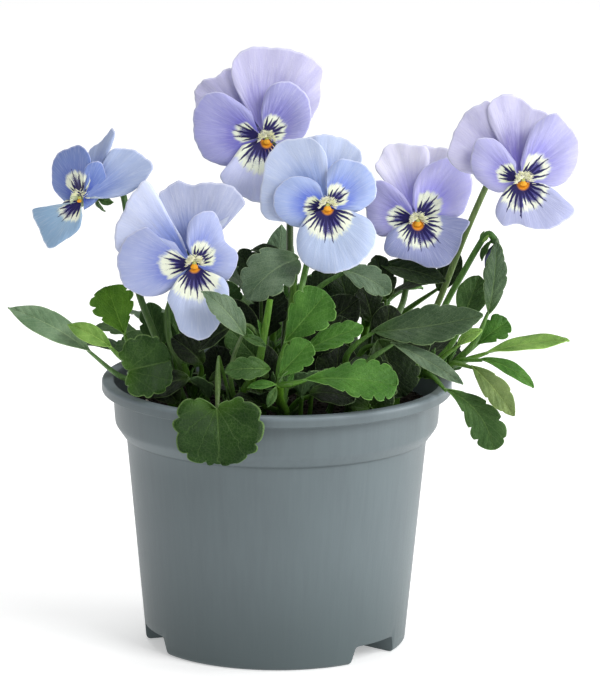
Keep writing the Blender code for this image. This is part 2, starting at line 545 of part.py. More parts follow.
def petal_sheet(bloom, petal):
    """Return a petal as a fan of rings about the throat."""
    tilt = math.radians(VIEW_ELEVATION)
    across = np.array([1.0, 0.0, 0.0])
    up = np.array([0.0, math.sin(tilt), math.cos(tilt)])
    toward = np.array([0.0, -math.cos(tilt), math.sin(tilt)])
    rim = resample(spline(petal.rim, 6), PETAL_COLUMNS)
    reach = np.linalg.norm(rim, axis=1).max()

    def place(x, y):
        r = math.hypot(x, y) / reach
        settle = min(1.0, r * 3.0)
        depth = petal.layer * settle + petal.slope[0] * x + petal.slope[1] * y
        return np.array(bloom.throat) + across * x + up * y + toward * (depth + petal.lift * r * r)

    points = [place(*(rim.mean(axis=0) * 0.06))]
    for ring in PETAL_RINGS:
        points += [place(*(xy * ring)) for xy in rim]
    count = len(rim)
    triangles = [(0, 1 + k, 2 + k) for k in range(count - 1)]
    for ring in range(len(PETAL_RINGS) - 1):
        for k in range(count - 1):
            a = 1 + ring * count + k
            triangles += [(a, a + count, a + count + 1), (a, a + count + 1, a + 1)]
    outer = 1 + (len(PETAL_RINGS) - 1) * count
    first = [1 + ring * count for ring in range(len(PETAL_RINGS) - 1)]
    final = [count + ring * count for ring in range(len(PETAL_RINGS) - 1)]
    return points, triangles, [0] + first + list(range(outer, outer + count)) + final[::-1]


def tube(path, radii, sides, steps=2):
    """Return a closed tapered tube along a path: points and faces."""
    line = spline(path, steps) if len(path) > 2 else np.asarray(path, float)
    run = np.linspace(0.0, 1.0, len(line))
    sizes = np.interp(run, np.linspace(0.0, 1.0, len(radii)), radii)
    tangents = np.gradient(line, axis=0)
    side = unit(np.cross(unit(tangents[0]), (0.31, 0.93, 0.2)))
    points = []
    for centre, tangent, size in zip(line, tangents, sizes):
        tangent = unit(tangent)
        side = unit(side - side @ tangent * tangent)
        other = np.cross(tangent, side)
        for k in range(sides):
            turn = 2 * math.pi * k / sides
            points.append(centre + size * (side * math.cos(turn) + other * math.sin(turn)))
    faces = []
    for ring in range(len(line) - 1):
        for k in range(sides):
            a, b = ring * sides + k, ring * sides + (k + 1) % sides
            faces += [(a, b, b + sides), (a, b + sides, a + sides)]
    end = (len(line) - 1) * sides
    faces += [(0, k + 1, k) for k in range(1, sides - 1)]
    faces += [(end, end + k, end + k + 1) for k in range(1, sides - 1)]
    return points, faces


def fuse(name, pieces, finish):
    """Union the pieces, each a pair of points and faces, into one object."""
    body = add_object(name, *pieces[0], finish)
    others = bpy.data.collections.new(name + "_pieces")
    for number, (points, faces) in enumerate(pieces[1:]):
        piece = add_object(f"{name}_{number}", points, faces, finish)
        bpy.context.scene.collection.objects.unlink(piece)
        others.objects.link(piece)
    bpy.context.scene.collection.children.link(others)
    join = body.modifiers.new("Join", "BOOLEAN")
    join.operation = "UNION"
    join.operand_type = "COLLECTION"
    join.collection = others
    join.solver = "MANIFOLD"
    apply_modifiers(body)
    for piece in list(others.objects):
        bpy.data.objects.remove(piece)
    bpy.data.collections.remove(others)
    keep_outer_body(body)
    return body


def apply_modifiers(body):
    """Replace the object's mesh by the one its modifiers give."""
    graph = bpy.context.evaluated_depsgraph_get()
    mesh = bpy.data.meshes.new_from_object(body.evaluated_get(graph))
    body.modifiers.clear()
    body.data = mesh


def keep_outer_body(body):
    """Keep the largest connected shell: drop scraps and fill sealed hollows."""
    shape = bmesh.new()
    shape.from_mesh(body.data)
    bmesh.ops.triangulate(shape, faces=shape.faces)
    unseen = set(shape.faces)
    shells = []
    while unseen:
        start = [unseen.pop()]
        shell = list(start)
        while start:
            face = start.pop()
            for edge in face.edges:
                for near in edge.link_faces if len(edge.link_faces) == 2 else ():
                    if near in unseen:
                        unseen.remove(near)
                        start.append(near)
                        shell.append(near)
        shells.append(shell)
    shells.sort(key=lambda faces: sum(f.calc_area() for f in faces))
    scraps = [face for shell in shells[:-1] for face in shell]
    if scraps:
        bmesh.ops.delete(shape, geom=scraps, context="FACES")
        loose = [v for v in shape.verts if not v.link_faces]
        bmesh.ops.delete(shape, geom=loose, context="VERTS")
    shape.to_mesh(body.data)
    shape.free()


def cut(body, cutter, operation="DIFFERENCE"):
    """Cut one object by another and remove the cutter."""
    tool = body.modifiers.new("Cut", "BOOLEAN")
    tool.operation = operation
    tool.object = cutter
    tool.solver = "EXACT"
    apply_modifiers(body)
    bpy.data.objects.remove(cutter)


def lathe(name, profile, finish=None, smooth=False):
    """Turn a closed profile of (radius, height) about the Z axis."""
    points, rings = [], []
    for radius, height in profile:
        if radius < 1e-6:
            rings.append([len(points)] * POT_SEGMENTS)
            points.append((0.0, 0.0, height))
            continue
        rings.append(list(range(len(points), len(points) + POT_SEGMENTS)))
        for k in range(POT_SEGMENTS):
            turn = 2 * math.pi * k / POT_SEGMENTS
            points.append((radius * math.cos(turn), radius * math.sin(turn), height))
    faces = []
    pairs = list(zip(rings, rings[1:] + rings[:1]))
    if profile[0][0] < 1e-6 and profile[-1][0] < 1e-6:
        pairs = pairs[:-1]
    for low, high in pairs:
        for k in range(POT_SEGMENTS):
            n = (k + 1) % POT_SEGMENTS
            corners = list(dict.fromkeys((low[k], low[n], high[n], high[k])))
            if len(corners) > 2:
                faces.append(tuple(corners))
    return add_object(name, points, faces, finish, smooth)


def channel(angle, grow):
    """Return a foot channel's wedge, grown on every side by grow."""
    low, top = CHANNEL_WIDTH / 2 + grow, CHANNEL_TOP_WIDTH / 2 + grow
    start, end = CHANNEL_START - grow, FOOT_RADIUS + 8.0
    height = CHANNEL_HEIGHT + grow
    turn = math.radians(angle - 90.0)
    out, side = (math.cos(turn), math.sin(turn)), (-math.sin(turn), math.cos(turn))
    points = []
    for distance in (start, end):
        for half, z in ((-low, -1.0), (low, -1.0), (top, height), (-top, height)):
            points.append((out[0] * distance + side[0] * half,
                           out[1] * distance + side[1] * half, z))
    faces = [(0, 1, 2, 3), (7, 6, 5, 4), (0, 4, 5, 1), (1, 5, 6, 2), (2, 6, 7, 3), (3, 7, 4, 0)]
    return add_object("channel", points, faces)


def build_pot(finish):
    """Build the pot: lip, collar, tapered wall, three feet and drain holes."""
    outer = [(0.0, 0.0)]
    for k in range(4):
        turn = math.radians(90.0 * k / 3)
        outer.append((FOOT_RADIUS - FOOT_CORNER * (1 - math.sin(turn)),
                      FOOT_CORNER * (1 - math.cos(turn))))
    outer += [(NECK_RADIUS, NECK_HEIGHT), (COLLAR_RADIUS, COLLAR_LOW),
              (COLLAR_RADIUS + 0.5, POT_HEIGHT - LIP_HEIGHT),
              (RIM_RADIUS - 0.4, POT_HEIGHT - LIP_HEIGHT),
              (RIM_RADIUS, POT_HEIGHT - LIP_HEIGHT + 0.6), (RIM_RADIUS, POT_HEIGHT - 0.8),
              (RIM_RADIUS - 0.8, POT_HEIGHT), (LIP_INNER - 1.2, POT_HEIGHT)]
    inner = [(COLLAR_RADIUS - WALL, COLLAR_LOW - 0.4), (NECK_RADIUS - WALL, NECK_HEIGHT),
             (FOOT_RADIUS - WALL, FLOOR)]
    pot = lathe("pot", outer + [(0.0, POT_HEIGHT)], finish)
    hollow = lathe("hollow", [(0.0, FLOOR), *inner[::-1], (LIP_INNER - 1.2, POT_HEIGHT - 1.0),
                              (LIP_INNER - 1.2, POT_HEIGHT + 2.0), (0.0, POT_HEIGHT + 2.0)])
    for angle in CHANNEL_ANGLES:
        cut(hollow, channel(angle, FLOOR))
        cut(pot, channel(angle, 0.0))
    cut(pot, hollow)
    for angle in CHANNEL_ANGLES:
        turn = math.radians(angle - 90.0)
        centre = (DRAIN_DISTANCE * math.cos(turn), DRAIN_DISTANCE * math.sin(turn))
        path = ((*centre, CHANNEL_HEIGHT - 2.0), (*centre, CHANNEL_HEIGHT + FLOOR + 2.0))
        cut(pot, add_object("drain", *tube(path, (DRAIN_RADIUS, DRAIN_RADIUS), 12)))
    keep_outer_body(pot)
    return pot


def build_soil(finish):
    """Build the soil that fills the pot, with a hole for every stem."""
    clear = WALL + GAP
    profile = [(0.0, FLOOR + GAP), (FOOT_RADIUS - clear, FLOOR + GAP),
               (NECK_RADIUS - clear, NECK_HEIGHT + 0.15),
               (COLLAR_RADIUS - clear, COLLAR_LOW - 0.25),
               (COLLAR_RADIUS - clear + 0.2, SOIL_TOP - 1.0),
               (COLLAR_RADIUS - clear - 2.0, SOIL_TOP),
               (COLLAR_RADIUS * 0.5, SOIL_TOP + SOIL_CROWN * 0.7), (0.0, SOIL_TOP + SOIL_CROWN)]
    soil = lathe("soil", profile, finish)
    for angle in CHANNEL_ANGLES:
        cut(soil, channel(angle, FLOOR + GAP))
    for stem in STEMS:
        path = [np.array(stem.axis[0], float) - (0, 0, 2.0), *stem.axis[1:3]]
        size = stem.radius * 1.15 + GAP + 0.1
        line = [path[0], path[1], np.array(path[1]) + unit(np.array(path[1]) - path[0]) * 8.0]
        cut(soil, add_object("hole", *tube(line, (size, size), 8, 1)))
    keep_outer_body(soil)
    return soil


def sepals(throat, facing):
    """Return the green cup behind a bloom: a receptacle and five sepals."""
    facing = unit(facing)
    side = unit(np.cross((0, 0, 1), facing))
    other = np.cross(facing, side)
    heart = np.array(throat, float) - facing * (CORE_RADIUS + 2.9)
    pieces = [tube((heart - facing * 1.3, heart, heart + facing * 1.1), (1.1, 1.8, 1.3), 6, 1)]
    for k in range(5):
        turn = math.radians(90 + 72 * k + 36)
        out = side * math.cos(turn) + other * math.sin(turn)
        wide = np.cross(facing, out)
        start = heart + out * 0.8
        end = heart + out * SEPAL_LENGTH * 0.72 - facing * SEPAL_LENGTH * 0.35
        middle = (start + end) / 2 + facing * 0.2
        points = [start, middle + wide * 1.5, end, middle - wide * 1.5]
        pieces.append(slab(points, [(0, 1, 2), (0, 2, 3)], [0, 1, 2, 3], LEAF_THICK))
    return pieces


def build_stem(stem, blooms, finish):
    """Build a leafy stem with its leaves, flower stalks and calyces as one body."""
    pieces = [tube(stem.axis, (stem.radius, stem.radius, stem.radius * 0.7), 6, 1)]
    for leaf in stem.leaves:
        pieces.append(slab(*leaf_sheet(leaf), LEAF_THICK))
        if leaf.petiole:
            inside = np.array(leaf.base) + unit(np.subtract(leaf.tip, leaf.base)) * 1.2
            path = (*leaf.petiole, tuple(inside))
            pieces.append(tube(path, (PETIOLE_RADIUS, PETIOLE_RADIUS, 0.75), 4, 1))
    for stalk in stem.stalks:
        pieces.append(tube(stalk, (STALK_RADIUS * 1.15, STALK_RADIUS, STALK_RADIUS), 5, 1))
    for bloom in blooms:
        pieces += sepals(bloom.throat, bloom.facing)
    if stem is OUTER_RIGHT_STEM:
        pieces += bud_sepals()
    return fuse(stem.name, pieces, finish)


def bud_sepals():
    """Return the green sepals that hold the nodding bud."""
    neck, tip = np.array(BUD_NECK), np.array(BUD_TIP)
    along = unit(tip - neck)
    side = unit(np.cross(along, (0, 1, 0)))
    other = np.cross(along, side)
    pieces = [tube((neck - along * 0.5, neck + along * 1.2), (1.0, 1.6), 8)]
    for k in range(5):
        turn = math.radians(72 * k)
        out = side * math.cos(turn) + other * math.sin(turn)
        wide = np.cross(along, out)
        start, middle = neck + along * 0.8 + out * 1.2, neck + along * 3.2 + out * 3.4
        end = neck + along * 7.0 + out * 3.3
        points = [start, middle + wide * 1.4, end, middle - wide * 1.4]
        pieces.append(slab(points, [(0, 1, 2), (0, 2, 3)], [0, 1, 2, 3], 0.6))
    return pieces


def build_bud(finish):
    """Build the closed purple petals of the bud."""
    neck, tip = np.array(BUD_NECK), np.array(BUD_TIP)
    along = unit(tip - neck)
    length = np.linalg.norm(tip - neck)
    path = [neck + along * d for d in (2.0, 0.32 * length, 0.58 * length, length)]
    radii = (0.4, BUD_RADIUS * 0.75, BUD_RADIUS, 0.6)
    return add_object("bud_petals", *tube(path, radii, 8, 1), finish, True)


def build_bloom(bloom, finish):
    """Build a bloom's five petals, joined by a short core behind the throat."""
    facing = unit(bloom.facing)
    throat = np.array(bloom.throat, float)
    path = (throat - facing * 2.0, throat - facing * 0.6, throat + facing * 0.9)
    pieces = [tube(path, (1.5, CORE_RADIUS, 1.4), 8, 1)]
    for petal in bloom.petals:
        pieces.append(slab(*petal_sheet(bloom, petal), PETAL_THICK))
    return fuse(bloom.name, pieces, finish)


def build_eye(bloom, finish):
    """Build the small yellow knob in a bloom's throat."""
    facing = unit(bloom.facing)
    front = np.array(bloom.throat, float) + facing * (0.9 + 1.0 + GAP)
    path = (front, front + facing * 0.8, front + facing * 1.4)
    return add_object(bloom.name + "_eye", *tube(path, (1.3, 1.1, 0.5), 6, 1), finish, True)


def main():
    """Clear the scene and build every piece."""
    for old in list(bpy.data.objects):
        bpy.data.objects.remove(old)
    green = material("leaf_green", LEAF_COLOUR, 0.55)
    build_pot(material("pot_plastic", POT_COLOUR, 0.45))
    build_soil(material("soil_peat", SOIL_COLOUR, 0.95))
    owners = {
        LEFT_STEM.name: [BLOOMS[0]], INNER_LEFT_STEM.name: [BLOOMS[1]],
        MIDDLE_STEM.name: [BLOOMS[2]], CENTRE_STEM.name: [BLOOMS[3]],
        RIGHT_STEM.name: [BLOOMS[4]], OUTER_RIGHT_STEM.name: [BLOOMS[5]],
    }
    for stem in STEMS:
        build_stem(stem, owners.get(stem.name, []), green)
    petals = {LILAC: material("petal_lilac", LILAC, 0.6), BLUE: material("petal_blue", BLUE, 0.6)}
    eye = material("eye_yellow", EYE_COLOUR, 0.6)
    for bloom in BLOOMS:
        build_bloom(bloom, petals[bloom.colour])
        build_eye(bloom, eye)
    build_bud(material("bud_purple", BUD_COLOUR, 0.6))


main()
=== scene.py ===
"""Dressed model of a potted horned violet.

A nursery pot of peat holds ten leafy stems, which carry six whiskered blooms
and one closed bud. Positions are written in millimetres, in the frame of the
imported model, and scaled by MM. The viewer of the photograph looks along +Y.
"""

from __future__ import annotations

import logging
import math
from dataclasses import dataclass, field
from enum import Enum
from typing import Any, Iterable, Sequence

import bmesh
import bpy
import numpy as np
from mathutils import Matrix, Vector


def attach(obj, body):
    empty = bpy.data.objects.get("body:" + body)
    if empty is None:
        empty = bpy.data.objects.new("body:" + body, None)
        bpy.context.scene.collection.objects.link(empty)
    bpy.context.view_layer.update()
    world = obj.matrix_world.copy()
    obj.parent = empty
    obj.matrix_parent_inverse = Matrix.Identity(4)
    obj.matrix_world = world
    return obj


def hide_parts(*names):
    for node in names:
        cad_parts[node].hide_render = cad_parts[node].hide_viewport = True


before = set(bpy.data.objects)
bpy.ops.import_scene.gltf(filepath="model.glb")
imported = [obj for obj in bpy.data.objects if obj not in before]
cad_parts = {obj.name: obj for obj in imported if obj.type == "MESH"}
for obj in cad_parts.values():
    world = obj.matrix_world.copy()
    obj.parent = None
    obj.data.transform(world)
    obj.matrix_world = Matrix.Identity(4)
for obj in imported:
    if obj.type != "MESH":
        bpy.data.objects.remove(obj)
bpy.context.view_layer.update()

LOG = logging.getLogger("violet")
MM = 0.001
SEED = 11
Array = np.ndarray


class Tone(Enum):
    """Leaf colours seen on the plant, as sRGB."""

    BRIGHT = (0.245, 0.425, 0.145)
    FRESH = (0.46, 0.61, 0.29)
    LIME = (0.32, 0.50, 0.12)
    MID = (0.23, 0.355, 0.17)
    LUSH = (0.115, 0.23, 0.055)
    DEEP = (0.10, 0.17, 0.075)
    # Painted shade: a leaf green darkened to stand in for the deep shade inside the mound.
    SHADE = (0.050, 0.105, 0.032)
    GREY = (0.37, 0.45, 0.37)
    SILVER = (0.47, 0.575, 0.46)
    SLATE = (0.23, 0.315, 0.22)
    OLIVE = (0.39, 0.47, 0.27)

    def blend(self, other: Tone, share: float) -> Array:
        """Return this tone with a share of another, as linear values."""
        return np.array(linear(self.value)) * (1 - share) + np.array(linear(other.value)) * share


class Kind(Enum):
    """Leaf shapes: how width rises from the base and falls to the tip."""

    LANCE = (1.1, 0.95)
    SPOON = (1.25, 0.5)
    OVAL = (0.75, 0.6)
    ROUND = (0.5, 0.5)


class Role(Enum):
    """A petal's part in its bloom."""

    UPPER = 0
    LATERAL = 1
    LOWER = 2


def linear(colour: Sequence[float]) -> tuple[float, ...]:
    """Return an sRGB colour as linear values with alpha one."""
    steps = [c / 12.92 if c <= 0.04045 else ((c + 0.055) / 1.055) ** 2.4 for c in colour]
    return (*steps, 1.0)


def unit(vector: Any) -> Array:
    """Return the vector, or each of an array's vectors, at length one."""
    vector = np.asarray(vector, float)
    return vector / np.maximum(np.linalg.norm(vector, axis=-1, keepdims=True), 1e-12)


def spline(points: Any, steps: int) -> Array:
    """Return a smooth curve through the points.

    Args:
        points: The points that the curve passes through.
        steps: How many samples each span between two points gets.

    Returns:
        The samples, with the last point at the end.
    """
    points = np.asarray(points, float)
    ends = np.vstack([2 * points[0] - points[1], points, 2 * points[-1] - points[-2]])
    curve = []
    for a, b, c, d in zip(ends[:-3], ends[1:-2], ends[2:-1], ends[3:]):
        for t in np.arange(steps) / steps:
            curve.append(0.5 * (2 * b + (c - a) * t + (2 * a - 5 * b + 4 * c - d) * t * t
                                + (3 * b - a - 3 * c + d) * t ** 3))
    curve.append(points[-1])
    return np.array(curve)


def resample(curve: Array, count: int) -> Array:
    """Spread points evenly along a curve.

    Args:
        curve: Points, one row each.
        count: How many are wanted.

    Returns:
        The new points, from end to end.
    """
    steps = np.linalg.norm(np.diff(curve, axis=0), axis=1)
    along = np.concatenate([[0.0], np.cumsum(steps)])
    wanted = np.linspace(0.0, along[-1], count)
    return np.stack([np.interp(wanted, along, curve[:, k]) for k in range(curve.shape[1])], -1)


def graded(stops: Any, run: Array) -> Array:
    """Grade values through evenly spaced stops.

    Args:
        stops: A number or a row of numbers for each stop.
        run: Shares from 0 to 1.

    Returns:
        One row for each share.
    """
    stops = np.asarray(stops, float).reshape(len(stops), -1)
    places = np.linspace(0, 1, len(stops))
    return np.stack([np.interp(run, places, column) for column in stops.T], 1)


def whim(*values: float) -> float:
    """Return a fixed number from 0 to 1 that looks random, made from the values."""
    total = math.sin(sum(v * f for v, f in zip(values, (12.9898, 78.233, 37.719)))) * 43758.5453
    return total - math.floor(total)


@dataclass
class Shell:
    """A closed surface in millimetres, with the values its finish reads.

    Attributes:
        points: Corner positions, one row each.
        faces: Corner numbers of each face, turned outward.
        layers: Named values for each corner, three or four to a row.
    """

    points: Array
    faces: Array
    layers: dict[str, Array] = field(default_factory=dict)


def grid_sheet(rows: int, columns: int) -> Array:
    """Join a sheet of points.

    Args:
        rows: Rows of points.
        columns: Points in a row.

    Returns:
        The triangles.
    """
    start = (np.arange(rows - 1)[:, None] * columns + np.arange(columns - 1)[None]).ravel()
    odd = start[:, None] + np.array([[0, 1, columns + 1], [0, columns + 1, columns]]).reshape(1, 6)
    return odd.reshape(-1, 3)


def polar(rings: int, segments: int) -> tuple[Array, Array]:
    """Place a middle point and rings round it.

    Args:
        rings: How many rings there are.
        segments: Points on each.

    Returns:
        The ring number and the angle of each point.
    """
    turns = 2 * math.pi * np.arange(segments) / segments
    return (np.append(0, np.repeat(np.arange(1, rings + 1), segments)),
            np.append(0, np.tile(turns, rings)))


def dome(rings: int, segments: int, closed: bool = False) -> Array:
    """Return the triangles between a first point and the rings that follow it.

    Args:
        rings: How many rings there are.
        segments: How many points each ring has.
        closed: Whether one last point closes the far end.

    Returns:
        The triangles, all turned the same way.
    """
    here = np.arange(segments)
    after = (here + 1) % segments
    faces = [(here * 0, 1 + here, 1 + after)]
    for low in 1 + segments * np.arange(rings - 1):
        high = low + segments
        faces += [(low + here, high + here, high + after), (low + here, high + after, low + after)]
    if closed:
        low = 1 + segments * (rings - 1)
        faces.append((here * 0 + low + segments, low + after, low + here))
    return np.concatenate(faces, axis=1).T


def close_sheet(points: Array, triangles: Array, rim: Array, thick: Array,
                layers: dict[str, Array]) -> Shell:
    """Return a closed blade about a sheet.

    Args:
        points: The middle surface.
        triangles: Its triangles, turned toward its face.
        rim: Its edge, in order round the sheet.
        thick: The blade's thickness at each point.
        layers: Named values at each point; side is added, 1 on the face and 0 behind.

    Returns:
        The blade, with its face, its back and its edge.
    """
    flat = np.cross(points[triangles[:, 1]] - points[triangles[:, 0]],
                    points[triangles[:, 2]] - points[triangles[:, 0]])
    normals = np.zeros_like(points)
    for corner in range(3):
        np.add.at(normals, triangles[:, corner], flat)
    normals = unit(normals)
    count = len(points)
    both = np.vstack([points + normals * thick[:, None] / 2, points - normals * thick[:, None] / 2])
    after = np.roll(rim, -1)
    edge = np.vstack([np.stack([rim, rim + count, after + count], 1),
                      np.stack([rim, after + count, after], 1)])
    faces = np.vstack([triangles, triangles[:, ::-1] + count, edge])
    doubled = {name: np.vstack([values, values]) for name, values in layers.items()}
    side = np.concatenate([np.ones(count), np.zeros(count)])
    doubled["side"] = np.stack([side, side, side], 1)
    return Shell(both, faces, doubled)


def add_object(name: str, data: Any) -> bpy.types.Object:
    """Return a new object at the origin, linked to the scene."""
    made = bpy.data.objects.new(name, data)
    bpy.context.scene.collection.objects.link(made)
    return made


def add_mesh(name: str, points: Any, edges: Any = (), faces: Any = ()) -> bpy.types.Object:
    """Return a new mesh object.

    Args:
        name: Its name.
        points: Its corners, in millimetres.
        edges: The two corners of each edge, where it has edges alone.
        faces: The corners of each face.

    Returns:
        The object, at the origin.
    """
    mesh = bpy.data.meshes.new(name)
    mesh.from_pydata((np.asarray(points, float) * MM).tolist(), edges, faces)
    return add_object(name, mesh)


def add_layer(mesh: bpy.types.Mesh, name: str, values: Array) -> None:
    """Give each point of a mesh a named value, vector or colour.

    Args:
        mesh: The mesh.
        name: The values' name.
        values: One row for each point, of one, three or four.
    """
    kinds = {1: ("FLOAT", "value"), 3: ("FLOAT_VECTOR", "vector"), 4: ("FLOAT_COLOR", "color")}
    kind, key = kinds[values.shape[1]]
    made = mesh.attributes.new(name, kind, "POINT")
    made.data.foreach_set(key, values.astype(np.float32).ravel())


def make_piece(name: str, shells: Iterable[Shell], finish: bpy.types.Material,
               ) -> bpy.types.Object:
    """Join shells into one mesh object at the origin.

    Args:
        name: The piece's name.
        shells: Its closed surfaces.
        finish: Its material.

    Returns:
        The object, with its outward normals and its layers as attributes.
    """
    shells = list(shells)
    offsets = np.cumsum([0] + [len(shell.points) for shell in shells])
    faces = np.vstack([shell.faces + offset for shell, offset in zip(shells, offsets)])
    points = np.vstack([shell.points for shell in shells])
    piece = add_mesh(name, points, faces=faces.tolist())
    for layer in shells[0].layers:
        add_layer(piece.data, layer, np.vstack([shell.layers[layer] for shell in shells]))
    turn_outward(piece.data)
    piece.data.shade_smooth()
    piece.data.materials.append(finish)
    return piece


def turn_outward(mesh: bpy.types.Mesh, merge: float = 0) -> None:
    """Turn every closed shell of a mesh so that its faces point outwards.

    Args:
        mesh: The mesh.
        merge: How near corners are that become one first, in metres.
    """
    shape = bmesh.new()
    shape.from_mesh(mesh)
    if merge:
        bmesh.ops.remove_doubles(shape, verts=shape.verts, dist=merge)
        bmesh.ops.dissolve_degenerate(shape, edges=shape.edges, dist=merge)
    bmesh.ops.recalc_face_normals(shape, faces=shape.faces)
    shape.to_mesh(mesh)
    shape.free()


def bake(piece: bpy.types.Object) -> bpy.types.Object:
    """Make the result of a piece's modifiers its plain mesh.

    Args:
        piece: The object.

    Returns:
        The same object.
    """
    graph = bpy.context.evaluated_depsgraph_get()
    mesh = bpy.data.meshes.new_from_object(piece.evaluated_get(graph))
    piece.modifiers.clear()
    mesh.name = piece.name
    piece.data = mesh
    return piece


def report(piece: bpy.types.Object, nodes: Sequence[str] = ()) -> None:
    """Hand a finished piece to the frame and log it.

    Args:
        piece: The finished object.
        nodes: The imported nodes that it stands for.
    """
    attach(piece, "root")
    if nodes:
        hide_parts(*nodes)
    LOG.info("%s: %d faces for %s", piece.name, len(piece.data.polygons), ", ".join(nodes) or "-")


class Wire:
    """A node's output that takes part in arithmetic: an operator adds a Math node."""

    def __init__(self, board: "Board", socket: bpy.types.NodeSocket) -> None:
        """Keep the board that the socket is on, and the socket."""
        self.board, self.socket = board, socket

    def math(self, operation: str, *values: Any) -> "Wire":
        """Return the result of a Math node on this wire and the values."""
        return self.board.math(operation, self, *values)

    def __add__(self, other: Any) -> "Wire":
        """Return self + other."""
        return self.math("ADD", other)

    def __sub__(self, other: Any) -> "Wire":
        """Return self - other."""
        return self.math("SUBTRACT", other)

    def __rsub__(self, other: Any) -> "Wire":
        """Return other - self."""
        return self.board.math("SUBTRACT", other, self)

    def __mul__(self, other: Any) -> "Wire":
        """Return self * other."""
        return self.math("MULTIPLY", other)

    def __truediv__(self, other: Any) -> "Wire":
        """Return self / other."""
        return self.math("DIVIDE", other)

    def __rtruediv__(self, other: Any) -> "Wire":
        """Return other / self."""
        return self.board.math("DIVIDE", other, self)

    def __pow__(self, other: Any) -> "Wire":
        """Return self to the power of other."""
        return self.math("POWER", other)

    def __abs__(self) -> "Wire":
        """Return the size of self."""
        return self.math("ABSOLUTE")

    __radd__, __rmul__ = __add__, __mul__

    def step(self, low: float | "Wire", high: float | "Wire") -> "Wire":
        """Return 0 below low, 1 above high and a smooth step between them."""
        return self.board.node("ShaderNodeMapRange", {"interpolation_type": "SMOOTHSTEP"},
                               {0: self, 1: low, 2: high})

    def ridge(self, gap: float, width: float | "Wire") -> "Wire":
        """Return 1 on lines every gap, falling to 0 at width from a line."""
        near = abs(self.math("WRAP", gap / 2, -gap / 2))
        return 1.0 - (near / width).math("MINIMUM", 1.0)


class Board:
    """A node tree, with one method that adds any node."""

    def __init__(self, tree: bpy.types.NodeTree) -> None:
        """Start on an existing tree."""
        self.tree = tree

    def node(self, kind: str, settings: dict[str, Any] | None = None,
             sockets: dict[int | str, Any] | None = None, output: int | str = 0) -> Wire:
        """Add a node.

        Args:
            kind: Its type.
            settings: Its properties, set first; stops are a ramp's places and colours.
            sockets: Values or wires for its inputs, by number or name.
            output: The output wanted, by number or name.

        Returns:
            That output.
        """
        made = self.tree.nodes.new(kind)
        for key, value in (settings or {}).items():
            if key == "stops":
                for number, (place, colour) in enumerate(value):
                    stop = (made.color_ramp.elements[number] if number < 2
                            else made.color_ramp.elements.new(place))
                    stop.position, stop.color = place, colour
            else:
                setattr(made, key, value)
        for key, value in (sockets or {}).items():
            if isinstance(value, Wire):
                self.tree.links.new(value.socket, made.inputs[key])
            else:
                made.inputs[key].default_value = value
        return Wire(self, made.outputs[output])

    def math(self, operation: str, *values: Any) -> Wire:
        """Return the result of a Math node."""
        return self.node("ShaderNodeMath", {"operation": operation}, dict(enumerate(values)))

    def output_of(self, wire: Wire, name: int | str) -> Wire:
        """Return another output of the node that a wire comes from."""
        return Wire(self, wire.socket.node.outputs[name])


